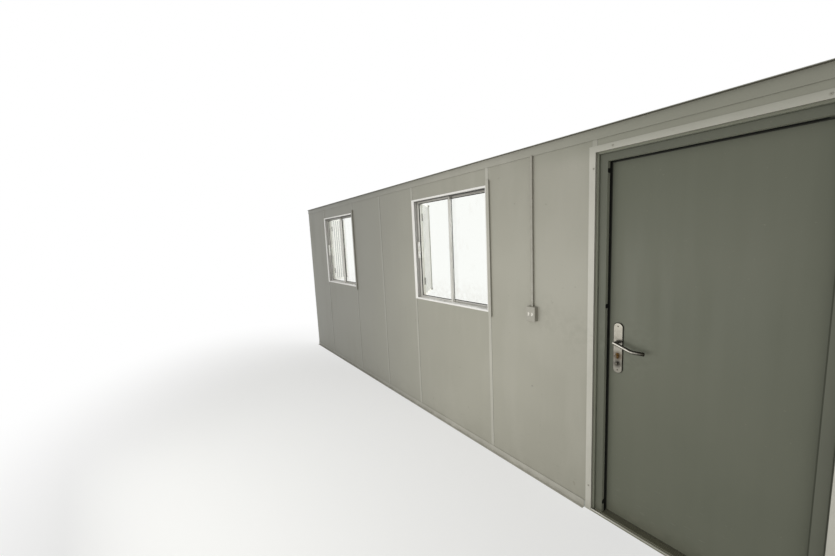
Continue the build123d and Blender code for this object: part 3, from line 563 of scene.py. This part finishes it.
def brushedMetal(name, look):
    # Rolled or polished metal with a brushed grain: the grain is drawn about ten times coarser than the real
    # 0.1 mm lines so that it shows, and it spreads the highlight across itself. Faces turned away from the
    # room are painted darker, a painted reflection of its dark corners, and grease and wear stain it where
    # hands and keys go; on the lever's end the dark patch is painted shade.
    material, tree, shader, coords = startMaterial(name, look)
    lines = cloudMask(tree, coords, look["lines"])
    lined = overlap(tree, lines, look["lineShare"])
    tarnish = cloudMask(tree, coords, look["tarnishes"])
    colour = layAll(tree, coords, layColour(tree, look["base"], look["line"], lined), look, [
        # painted reflection: faces turned away from the room darker
        ("edge", "edgeReflectionShare", turnedMask(tree, look["turned"])),
        ("tarnish", "tarnishShare", tarnish),
        ("tarnish", "spotShare", "spots"),
    ])
    # stains, and on the lever's end painted shade, each laid in patches
    for place, reach, darkColour in look["stainsAndShade"]:
        patches = cloudMask(tree, coords, look["patches"])
        colour = layColour(tree, colour, darkColour, nearMask(tree, coords, place, reach), patches)
    worn = addNode(tree, "ShaderNodeMath", {0: lined, 1: tarnish}, operation="MAXIMUM")
    dress(tree, coords, shader, colour, look, worn, [(lines, "lineDepth")])
    return material


# turned faces get the edge colour as a painted reflection of dark surroundings
metalLook = {
    "metallic": 1.0, "lineShare": 0.6, "spots": (3.5, 0.68, 0.72, 3), "spotShare": 0.5,
    "edge": "#55534b", "edgeReflectionShare": 0.3, "turned": (0.9, 0.6), "stainsAndShade": [],
}
# the backplates, sheet brushed upwards: a soft upright sheen, brown dirt round the keyhole, black edges as a
# painted reflection
satinSteel = brushedMetal("satinStainlessSteel", {
    **metalLook,
    "rough": (0.28, 0.42), "spread": 0.4,
    "base": "#918e85", "line": "#807d74", "lines": (1.2, 0.3, 0.7, 3, (1, 1, 0.05)), "lineDepth": 0.012,
    "edge": "#0d0c09", "edgeReflectionShare": 1.0, "turned": (0.95, 0.75),
    "tarnish": "#7d786c", "tarnishes": (28, 0.42, 0.68, 5), "tarnishShare": 0.3,
    "stainsAndShade": [((leverX, plateFace, leverHeight - 80), 40, "#3d2c19"),
               ((leverX, plateFace, leverHeight - 125), 34, "#26241f")],
    "patches": (11, 0.25, 0.4, 3),
})
# the levers, round bar brushed along itself: turned faces painted dark as a reflection, leaving a bright
# line along its top, and painted shade on its end
leverSteel = brushedMetal("satinStainlessBar", {
    **metalLook,
    "rough": (0.2, 0.36), "spread": 0.4,
    "base": "#b0ada4", "line": "#9d9a92", "lines": (1.2, 0.3, 0.7, 3, (0.06, 1, 1)), "lineDepth": 0.01,
    "edge": "#211f1a", "edgeReflectionShare": 0.97, "turned": (0.985, 0.78),
    "tarnish": "#827e75", "tarnishes": (22, 0.42, 0.68, 5), "tarnishShare": 0.25,
    # painted shade on the lever's end
    "stainsAndShade": [((leverX + 142, leafFace - 47, leverHeight - 29), 95, "#25231d")],
    "patches": (11, 0.1, 0.3, 3),
})
# the snib and the small screws, turned steel: dull, dark and stained all over by fingers, turned faces
# painted darker as a reflection
turnSteel = brushedMetal("wornTurnSteel", {
    **metalLook,
    "rough": (0.3, 0.5),
    "base": "#6f6b60", "line": "#5c594f", "lines": (1.2, 0.3, 0.7, 3), "lineDepth": 0.01,
    "edge": "#1d1b16", "edgeReflectionShare": 0.9, "turned": (0.95, 0.7),
    "tarnish": "#2a2722", "tarnishes": (7, 0.42, 0.68, 5), "tarnishShare": 0.8,
})
# hinges, bolts and lock case, steel dipped in zinc: pale grey with darker dull clouds, no grain
zincSteel = brushedMetal("zincPlatedSteel", {
    **metalLook,
    "rough": (0.36, 0.58),
    "base": "#a5a59f", "line": "#93948f", "lines": (4, 0.3, 0.7, 3), "lineDepth": 0.02,
    "tarnish": "#7d7a6c", "tarnishes": (16, 0.42, 0.68, 5), "tarnishShare": 0.6,
})
# the lock cylinder, drawn brass gone brown: dark, a little gold where keys rub it
agedBrass = brushedMetal("tarnishedBrass", {
    **metalLook,
    "rough": (0.3, 0.5),
    "base": "#5e4726", "line": "#4d3a20", "lines": (1, 0.3, 0.7, 3, (1, 0.2, 1)), "lineDepth": 0.01,
    "tarnish": "#261b11", "tarnishes": (7, 0.42, 0.68, 5), "tarnishShare": 0.9,
})


def millExtrusion(name, look):
    # Mill-finish aluminium threshold: die lines along it, its nosing bright beside the lock and duller
    # beyond, and dark dirt trodden into the tread behind it, paler on the ribs nearest the nosing and packed
    # in the grooves, by the distance from the middle of each pitch.
    material, tree, shader, coords = startMaterial(name, look)
    lines = cloudMask(tree, coords, look["lines"])
    colour = layColour(tree, look["base"], look["line"], lines)
    dulled = rampMask(tree, coords, look["dullAlong"], alongWall)
    colour = layColour(tree, colour, look["dull"], dulled, look["dullShare"])
    soil = layColour(tree, look["dirt"], look["worn"], cloudMask(tree, coords, look["wear"]))
    soil = layColour(tree, soil, look["rib"], rampMask(tree, coords, look["ribThrough"], throughWall))
    pitch = (leafFace - look["start"]) / look["grooves"]
    through = addNode(tree, "ShaderNodeSeparateXYZ", {0: coords}, out=throughWall)
    pitches = addNode(tree, "ShaderNodeMath", {0: through, 1: 1000 / pitch, 2: -look["start"] / pitch},
                      operation="MULTIPLY_ADD")
    phase = addNode(tree, "ShaderNodeMath", {0: pitches}, operation="FRACT")
    offset = addNode(tree, "ShaderNodeMath", {0: phase, 1: 0.5}, operation="SUBTRACT")
    away = addNode(tree, "ShaderNodeMath", {0: offset}, operation="ABSOLUTE")
    groove = addNode(tree, "ShaderNodeMapRange", {"Value": away, "From Min": look["grooveEdge"],
                                                  "From Max": look["grooveFloor"]})
    soil = layColour(tree, soil, look["packed"], groove, look["packedShare"])
    trodden = rampMask(tree, coords, look["treadUp"])
    colour = layColour(tree, colour, soil, trodden, look["soilShare"])
    grit = cloudMask(tree, coords, look["grits"])
    colour = layColour(tree, colour, look["grit"], grit, look["gritShare"])
    dress(tree, coords, shader, colour, look, trodden, [(lines, "lineDepth"), (grit, "gritDepth")])
    return material


treadAluminium = millExtrusion("millFinishAluminium", {
    "metallic": 0.2, "rough": (0.3, 0.8),
    "base": "#f4f2ec", "line": "#e4e1d9", "lines": (1.6, 0.3, 0.7, 3, (0.03, 1, 1)), "lineDepth": 0.02,
    "dull": "#a9a89c", "dullAlong": (1660, 1860), "dullShare": 0.7,
    "dirt": "#66654f", "worn": "#75735b", "wear": (30, 0.3, 0.75, 5, (0.2, 1, 1)),
    "treadUp": (11, 6), "soilShare": 0.96, "rib": "#b3b19b", "ribThrough": (-14, -26),
    "packed": "#1a1910", "packedShare": 0.9, "start": wallFace + 7, "grooves": 7,
    "grooveEdge": 0.3, "grooveFloor": 0.2,
    "grit": "#8a8470", "grits": (5, 0.68, 0.72, 2), "gritShare": 0.5, "gritDepth": 0.1,
})


def mouldedPlastic(name, look):
    # Moulded plastic: an even colour right through, the mould's fine spark texture, and dust or yellowing in
    # patches with rubbed, shinier places between, painted shade on the sides turned sideways or down, and on
    # the seal paint caught from the frame along the hinges.
    material, tree, shader, coords = startMaterial(name, look)
    age = cloudMask(tree, coords, (look["ageMm"], *look["ageLevels"]))
    specks = cloudMask(tree, coords, (look["speckMm"], *look["speckLevels"]))
    # the dust colour also laid on the sides as painted shade
    layers = [("dust", "dustShare", specks), ("dust", "sideShadeShare", shadedFacesMask(tree))]
    if "overspray" in look:
        layers.append(("overspray", "sprayShare", rampMask(tree, coords, look["sprayAlong"], alongWall)))
    colour = layAll(tree, coords, layColour(tree, look["base"], look["aged"], age), look, layers)
    dress(tree, coords, shader, colour, look, age, [("sparks", "sparkDepth")])
    return material


plasticLook = {
    "ior": 1.49, "specular": 0.5, "ageLevels": (0.35, 0.68, 4), "speckLevels": (0.64, 0.7, 3),
    "dustShare": 0.3, "sideShadeShare": 0, "sparks": (1.5, 0.2, 0.8, 2),
}
# the switch box, trunking and white screws, hard vinyl: glossy, yellowed grey, with painted shade on its
# sides
switchPlastic = mouldedPlastic("mouldedWhitePlastic", {
    **plasticLook,
    "rough": (0.26, 0.4), "base": "#a7a499", "aged": "#9e9b8f", "ageMm": 40,
    "dust": "#59554b", "speckMm": 14, "dustShare": 0.15, "sideShadeShare": 0.35, "sparkDepth": 0.02,
})
# the rockers, polished by fingers: whiter and glossier than the cover, with painted shade on their sides in
# the gaps round them
rockerPlastic = mouldedPlastic("polishedRockerPlastic", {
    **plasticLook,
    "rough": (0.18, 0.3), "base": "#efece4", "aged": "#cfcbc0", "ageMm": 14,
    "dust": "#38352e", "speckMm": 6, "dustShare": 0.5, "sideShadeShare": 1.0,
    "sparks": (1.2, 0.2, 0.8, 2), "sparkDepth": 0.01,
})
# the window catches, nylon: clean white, satin, with grey finger marks
catchPlastic = mouldedPlastic("mouldedCatchNylon", {
    **plasticLook,
    "ior": 1.53, "rough": (0.3, 0.45), "base": "#fbfbf8", "aged": "#e6e3db", "ageMm": 30,
    "dust": "#8c887c", "speckMm": 9, "dustShare": 0.4, "sparkDepth": 0.02,
})
# the caps in the door frame, soft black polythene: waxy, nearly no highlight, with pale dust
capPlastic = mouldedPlastic("blackCapPolythene", {
    **plasticLook,
    "ior": 1.51, "specular": 0.15, "rough": (0.38, 0.58), "base": "#060606", "aged": "#0e0e0d", "ageMm": 12,
    "dust": "#2e2c27", "speckMm": 5, "sparkDepth": 0.03,
})
# gaskets and pile, black rubber with carbon in it: flat, soft black that dust turns grey
rubberLook = {
    **plasticLook,
    "ior": 1.52, "specular": 0.15, "rough": (0.6, 0.85), "base": "#0c0c0b", "aged": "#141412", "ageMm": 50,
    "dust": "#33312a", "speckMm": 12, "sparks": (2, 0.2, 0.8, 2), "sparkDepth": 0.05,
}
gasketRubber = mouldedPlastic("blackGasketRubber", rubberLook)
# the door's seal, the same rubber, grey-green along the hinge side where the frame was sprayed over it
sealRubber = mouldedPlastic("blackSealRubber", {
    **rubberLook,
    "base": "#090908", "aged": "#0f0f0d",
    "overspray": "#5c5e53", "sprayAlong": (hingeSide - 60, hingeSide - 30), "sprayShare": 0.85,
})
# the beads outside, silicone smoothed wet by a finger: shiny, lumpy, grey with grit stuck in it
sealantSilicone = mouldedPlastic("whiteSiliconeSealant", {
    **plasticLook,
    "ior": 1.43, "rough": (0.3, 0.5), "base": "#c9c7be", "aged": "#b3afa2", "ageMm": 60,
    "dust": "#6d695d", "speckMm": 10, "dustShare": 0.6, "sparks": (9, 0.2, 0.8, 2), "sparkDepth": 0.3,
})

finishes = {
    wallCoating: ["panel_far_end", "panel_between_windows_far", "panel_between_windows_near",
                  "panel_beside_door", "panel_over_door", "panel_near_end", "panels_under_windows",
                  "panels_over_windows"],
    trimCoating: ["skirting", "window_side_strips"],
    litDoorTrimCoating: ["door_trims"],
    stripCoating: ["panel_joiners"],
    shadedCorniceCoating: ["cornice"],
    windowTrimCoating: ["window_trims"],
    galvanised: ["bottom_channel", "top_channel", "end_channels"],
    leafPaint: ["door_leaf"],
    framePaint: ["door_jamb_lock_side", "door_jamb_hinge_side", "door_head"],
    sealRubber: ["door_seal"],
    capPlastic: ["frame_plugs"],
    zincSteel: ["strike_plate", "hinge_frame_halves", "hinge_leaf_halves", "lock_case", "shutter_hinges",
                "shutter_bolts"],
    treadAluminium: ["threshold"],
    agedBrass: ["lock_cylinder"],
    satinSteel: ["handle_plates"],
    turnSteel: ["snib"],
    leverSteel: ["lever_inside", "lever_outside"],
    sashCoating: ["sliding_sashes", "fixed_sashes"],
    trackCoating: ["window_frames"],
    glass: ["window_glass"],
    catchPlastic: ["window_catches"],
    shutterPaint: ["shutters"],
    switchPlastic: ["trunking", "switch_back_box", "switch_cover"],
    rockerPlastic: ["switch_rockers"],
}
for finish, names in finishes.items():
    for name in names:
        nodes[name].data.materials.clear()
        nodes[name].data.materials.append(finish)
print("finishes on", sum(len(names) for names in finishes.values()), "nodes")


# Surfaces, worked out in millimetres as grids of points

def gridFaces(rows, columns):
    # the four corners of each cell of a grid, its last column joined round to the first
    r = np.arange(rows - 1)[:, None] * columns
    c = np.arange(columns)[None, :]
    after = (c + 1) % columns
    return np.stack([r + c, r + after, r + columns + after, r + columns + c], -1).reshape(-1, 4)


made = []


def addPiece(name, grids, material, body, replaced=()):
    # several grids of points made one mesh in metres, with poles merged and faces turned outwards
    points = []
    faces = []
    start = 0
    for grid in grids:
        rows, columns = grid.shape[:2]
        points.append(grid.reshape(-1, 3) / 1000)
        faces.append(gridFaces(rows, columns) + start)
        start += rows * columns
    mesh = bpy.data.meshes.new(name)
    mesh.from_pydata(np.concatenate(points).tolist(), [], np.concatenate(faces).tolist())
    work = bmesh.new()
    work.from_mesh(mesh)
    bmesh.ops.remove_doubles(work, verts=work.verts, dist=1e-6)
    bmesh.ops.recalc_face_normals(work, faces=work.faces)
    work.to_mesh(mesh)
    work.free()
    mesh.polygons.foreach_set("use_smooth", np.ones(len(mesh.polygons), bool))
    mesh.set_sharp_from_angle(angle=math.radians(35))
    mesh.materials.append(material)
    piece = bpy.data.objects.new(name, mesh)
    bpy.context.scene.collection.objects.link(piece)
    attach(piece, body)
    if replaced:
        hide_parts(*replaced)
    made.append(piece)


# where a surface's own x, y and z point: its front to the room, to the yard, or out of the lock jamb's face
facings = {
    "room": np.array([[1, 0, 0], [0, 0, 1], [0, -1, 0]]),
    "yard": np.array([[-1, 0, 0], [0, 0, 1], [0, 1, 0]]),
    "reveal": np.array([[0, 1, 0], [0, 0, 1], [1, 0, 0]]),
}


def polarSurface(radii, heights, spokes, recess=None):
    # rings: x and y are a radius times the cosine and sine of the spoke's angle, z is the ring's height, less
    # on the front what the recess says for that x and y
    angles = np.linspace(0, 2 * np.pi, spokes, endpoint=False)
    x = radii[:, None] * np.cos(angles)
    y = radii[:, None] * np.sin(angles)
    z = np.repeat(heights[:, None], spokes, axis=1)
    if recess is not None:
        z = z - recess(x, y) * (z > 0)
    return np.stack([x, y, z], -1)


def crossRecess(look, turn):
    # a turned cross of two slots, their depth falling towards the arms' ends as the root of what is left
    def deep(x, y):
        u = x * math.cos(turn) + y * math.sin(turn)
        v = y * math.cos(turn) - x * math.sin(turn)
        slot = np.minimum(np.abs(u), np.abs(v)) < look["slot"]
        reach = np.clip(1 - np.maximum(np.abs(u), np.abs(v)) / look["arm"], 0, 1)
        return np.where(slot, look["depth"] * np.sqrt(reach), 0)
    return deep


def panHead(centre, facing, look, turn):
    # a dome over a short rim: the height falls as the fourth power of the radius's share, then straight down
    front = np.linspace(0, 1, look["rings"])
    radii = np.concatenate([front * look["radius"], [look["radius"], 0]])
    dome = look["height"] * (1 - look["fall"] * front ** 4)
    heights = np.concatenate([dome, [-look["sunk"], -look["sunk"]]])
    head = polarSurface(radii, heights, look["spokes"], crossRecess(look, turn))
    return head @ facings[facing] + np.array(centre)


def panHeads(places, facing, look, turns):
    # a head at each place, each at its own turn
    return [panHead(place, facing, look, turn) for place, turn in zip(places, turns)]


quarterTurn = 1.57
turns = np.random.default_rng(5).uniform(0, quarterTurn, 64)  # where each screw's cross stopped

trimScrewLook = {"radius": 5, "height": 2.6, "fall": 0.45, "sunk": 0.3, "rings": 14, "spokes": 56,
                 "arm": 2.9, "slot": 0.5, "depth": 1.4}
trimScrewPlaces = [(1642, 2026), (1636, 160), (2543.5, 2026), (2549, 160), (1737, 2125), (2445, 2125)]
addPiece("trimScrews", panHeads([(x, trimFace, z) for x, z in trimScrewPlaces], "room", trimScrewLook, turns),
         switchPlastic, "wall")
addPiece("wallScrew", [panHead((1247, wallFace, 660), "room", trimScrewLook, 0.4)],
         zincSteel, "wall")

plateScrewLook = {**trimScrewLook, "radius": 4.2, "height": 0.9, "arm": 2.7, "depth": 1.3}
plateScrewPlaces = [(leverX, plateFace, leverHeight + rise) for rise in (90, -162)]
addPiece("plateScrews", panHeads(plateScrewPlaces, "room", plateScrewLook, turns[20:]),
         turnSteel, "door")


def capDome(centre, look):
    # a shallow dome, its height falling as the square of the radius's share, with a ring pressed in it near
    # the rim as a bell curve of the radius, and its edge rounded by a quarter circle
    t = np.linspace(0, 1, 12)
    inner = look["radius"] - look["edge"]
    crown = look["height"] * (1 - look["fall"] * (t * inner / look["radius"]) ** 2)
    crown = crown - look["ring"] * np.exp(-((t - look["ringAt"]) / look["ringWide"]) ** 2)
    quarter = np.linspace(0, np.pi / 2, 6)[1:]
    edgeRadii = inner + look["edge"] * np.sin(quarter)
    edgeHeights = crown[-1] * np.cos(quarter)
    radii = np.concatenate([t * inner, edgeRadii, [0]])
    heights = np.concatenate([crown, edgeHeights, [0]])
    return polarSurface(radii, heights, look["spokes"]) @ facings["reveal"] + np.array(centre)


capLook = {"radius": 13, "height": 4, "fall": 0.18, "edge": 1.8, "ring": 0.35, "ringAt": 0.78,
           "ringWide": 0.06, "spokes": 48, "heights": (70, 1270, 2010)}
capMiddle = sum(spanMm("frame_plugs", throughWall)) / 2
addPiece("frameCaps", [capDome((jambFace, capMiddle, z), capLook) for z in capLook["heights"]],
         capPlastic, "wall", replaced=["frame_plugs"])


def ringProfile(bounds, profile, y0):
    # a section of (inset, y) points carried round a rectangle, mitred at its four corners
    x0, x1, z0, z1 = bounds
    inset = profile[:, 0]
    y = y0 + profile[:, 1]
    corners = [(x0 + inset, z0 + inset), (x1 - inset, z0 + inset), (x1 - inset, z1 - inset),
               (x0 + inset, z1 - inset)]
    loop = [np.stack([x, y, z], -1) for x, z in corners]
    return np.stack(loop + loop[:1])


def paneGaskets(look):
    # a rubber wedge against each face of each pane, leaning in three steps from the bead's edge to the glass
    wide, deep = look["wide"], look["deep"]
    wedge = np.array([(0, 0), (wide, 0), (wide, look["lip"]), (wide * 0.55, deep * 0.75), (wide * 0.2, deep),
                      (0, deep)])
    foot, head = windowFoot + look["foot"], windowTop - look["head"]
    slidingFace = spanMm("sliding_sashes", throughWall)[0]
    fixedFace = spanMm("fixed_sashes", throughWall)[1] - look["sashDepth"]
    grids = []
    for start in windowStarts:
        middle = start + windowWidth / 2
        sliding = (start + look["side"], middle - look["middle"], foot, head)
        fixed = (middle + look["middle"], start + windowWidth - look["side"], foot, head)
        for bounds, sashFace in ((sliding, slidingFace), (fixed, fixedFace)):
            grids.append(ringProfile(bounds, wedge * (1, -1), sashFace + look["pane"]))
            grids.append(ringProfile(bounds, wedge, sashFace + look["sashDepth"] - look["pane"]))
    return grids


addPiece("glazingGaskets", paneGaskets({
    "wide": 5, "deep": 3.3, "lip": 0.3, "pane": 7.5, "side": 50, "middle": 3, "foot": 25, "head": 29,
    "sashDepth": 21,
}), gasketRubber, "wall")


def sealantBead(bounds, size):
    # a fillet of sealant in the corner of a flange's edge and the wall, its face a hollow quarter circle
    t = np.linspace(0, np.pi / 2, 7)
    curve = np.stack([-size + size * np.sin(t), size - size * np.cos(t)], -1)
    return ringProfile(bounds, np.concatenate([[(0, 0)], curve]), outerFace)


beadSize = 2.9
flanges = [(start - flangeReach, start + windowWidth + flangeReach, windowFoot - flangeReach,
            windowTop + flangeReach) for start in windowStarts]
addPiece("windowSealant", [sealantBead(flange, beadSize) for flange in flanges],
         sealantSilicone, "wall")


def outlineBar(outline, stations):
    # a closed outline carried through stations, each a (scale towards its middle, position) pair, ends closed
    middle = outline.mean(0)
    rings = []
    for scale, along in stations:
        flat = middle + (outline - middle) * scale
        rings.append(np.concatenate([flat, np.full((len(flat), 1), along)], 1))
    return np.stack(rings)


def pileStrip(start, look):
    # black wool pile on the edge of the frame's lip, its brush a half circle where it meets the sliding stile
    t = np.linspace(0, np.pi, 7)
    half = look["deep"] / 2
    tip = np.stack([look["wide"] - half + half * np.sin(t), half - half * np.cos(t)], -1)
    outline = np.concatenate([[(0, 0)], tip, [(0, look["deep"])]]) + (start + look["inset"], look["room"])
    foot, head = windowFoot + look["inset"], windowTop - look["inset"]
    return outlineBar(outline, [(0, foot), (1, foot), (1, head), (0, head)])


pileLook = {"wide": 5, "deep": 5, "inset": 14, "room": -19}
addPiece("slidingSashPile", [pileStrip(start, pileLook) for start in windowStarts],
         gasketRubber, "wall")


def trunkingBar(look):
    # a square channel with a lid snapped over it, round at its corners, and a slit down each side
    (x0, y0, foot), (x1, y1, top) = boxMm("trunking")
    side = x1 - x0
    half = side / 2
    r = look["corner"]
    arc = np.linspace(0, np.pi / 2, 5)
    lidSide = side - look["lid"]
    left = [(-half, 0), (-half, lidSide - look["slit"]), (-half + look["slit"], lidSide - look["slit"]),
            (-half + look["slit"], lidSide), (-half, lidSide)]
    leftArc = [(-half + r - r * math.cos(a), side - r + r * math.sin(a)) for a in arc]
    points = np.array(left + leftArc)
    outline = np.concatenate([points, points[::-1] * (-1, 1)])
    bar = outlineBar(outline, [(0, foot), (1, foot), (1, top), (0, top)])
    return np.stack([x0 + half + bar[..., 0], y1 - bar[..., 1], bar[..., 2]], -1)


addPiece("trunkingWithLid", [trunkingBar({"corner": 1.6, "lid": 5, "slit": 0.7})],
         switchPlastic, "wall", replaced=["trunking"])


def cylinderBody(look):
    # a round barrel over a lobe with a round foot, carried through the leaf and bevelled at both ends
    barrel, lobe = look["barrel"], look["lobe"]
    meet = math.asin(lobe / barrel)
    upper = np.linspace(-np.pi / 2 + meet, 3 * np.pi / 2 - meet, 40)
    top = np.stack([barrel * np.cos(upper), barrel * np.sin(upper)], -1)
    lower = np.linspace(np.pi, 2 * np.pi, 14)
    foot = np.stack([lobe * np.cos(lower), -look["drop"] + lobe + lobe * np.sin(lower)], -1)
    outline = np.concatenate([top, foot])
    y0, y1 = look["ends"]
    bevel, pinch = look["bevel"], look["pinch"]
    bar = outlineBar(outline, [(0, y0), (pinch, y0), (1, y0 + bevel), (1, y1 - bevel), (pinch, y1), (0, y1)])
    return np.stack([look["x"] + bar[..., 0], bar[..., 2], look["z"] + bar[..., 1]], -1)


def keyPlug(look, facing):
    # the turning plug: a disc a little proud, its height falling as the sixth power of the radius's share to
    # a worn rim, with the keyway down its middle, a slot put to one side or the other by a sine's sign
    t = np.linspace(0, 1, 18)
    radii = np.concatenate([t * look["plug"], [look["plug"], 0]])
    heights = np.concatenate([look["proud"] * (1 - look["fall"] * t ** 6), [-look["sunk"], -look["sunk"]]])

    def keyway(x, y):
        bend = look["bend"] * np.sign(np.sin(y * look["crooks"])) * (np.abs(y) > look["straight"])
        inside = (np.abs(x - bend) < look["slot"]) & (np.abs(y + look["lower"]) < look["slotReach"])
        return np.where(inside, look["slotDepth"], 0)
    y = look["ends"][0 if facing == "room" else 1]
    plug = polarSurface(radii, heights, look["spokes"], keyway)
    return plug @ facings[facing] + np.array((look["x"], y, look["z"]))


cylinderLook = {
    "x": leverX, "z": leverHeight - 72, "ends": spanMm("lock_cylinder", throughWall),
    "barrel": 8.5, "lobe": 5, "drop": 24.5, "bevel": 0.6, "pinch": 0.95,
    "plug": 6.4, "proud": 0.6, "fall": 0.3, "sunk": 0.4, "spokes": 64,
    "slot": 0.75, "slotReach": 4.4, "slotDepth": 1.6, "lower": 0.3,
    "bend": 0.55, "crooks": 1.9, "straight": 0.8,
}
addPiece("lockCylinder", [cylinderBody(cylinderLook)], agedBrass, "door", replaced=["lock_cylinder"])
addPiece("keyPlugs", [keyPlug(cylinderLook, facing) for facing in ("room", "yard")],
         agedBrass, "door")


hingeScrewLook = {**trimScrewLook, "radius": 3.8, "height": 1.1, "arm": 2.4, "slot": 0.45, "depth": 0.9,
                  "rings": 10, "spokes": 40}
hingeLook = {"heights": (241, 1043, 1845), "rows": (10, 25, 40), "frameX": 2535, "frameGauge": 3,
             "leafX": 2487, "leafGauge": 4}
frameScrewPlaces = [(hingeLook["frameX"], outerFace + hingeLook["frameGauge"], z - drop)
                    for z in hingeLook["heights"] for drop in hingeLook["rows"]]
leafScrewPlaces = [(hingeLook["leafX"], leafBack + hingeLook["leafGauge"], z + rise)
                   for z in hingeLook["heights"] for rise in hingeLook["rows"]]
addPiece("frameHingeScrews", panHeads(frameScrewPlaces, "yard", hingeScrewLook, turns[30:]),
         zincSteel, "wall")
addPiece("leafHingeScrews", panHeads(leafScrewPlaces, "yard", hingeScrewLook, turns[40:]),
         zincSteel, "door")

shutterHingeLook = {"fromEnds": 150, "rows": (-22, 22), "gauge": 5.5}
shutterScrewPlaces = [(x, outerFace + shutterHingeLook["gauge"], z + rise) for start in windowStarts
                      for x in (start - flangeReach, start + windowWidth + flangeReach)
                      for z in (windowFoot + shutterHingeLook["fromEnds"],
                                windowTop - shutterHingeLook["fromEnds"])
                      for rise in shutterHingeLook["rows"]]
addPiece("shutterHingeScrews", panHeads(shutterScrewPlaces, "yard", hingeScrewLook, turns),
         zincSteel, "wall")
print("pieces made:", len(made))
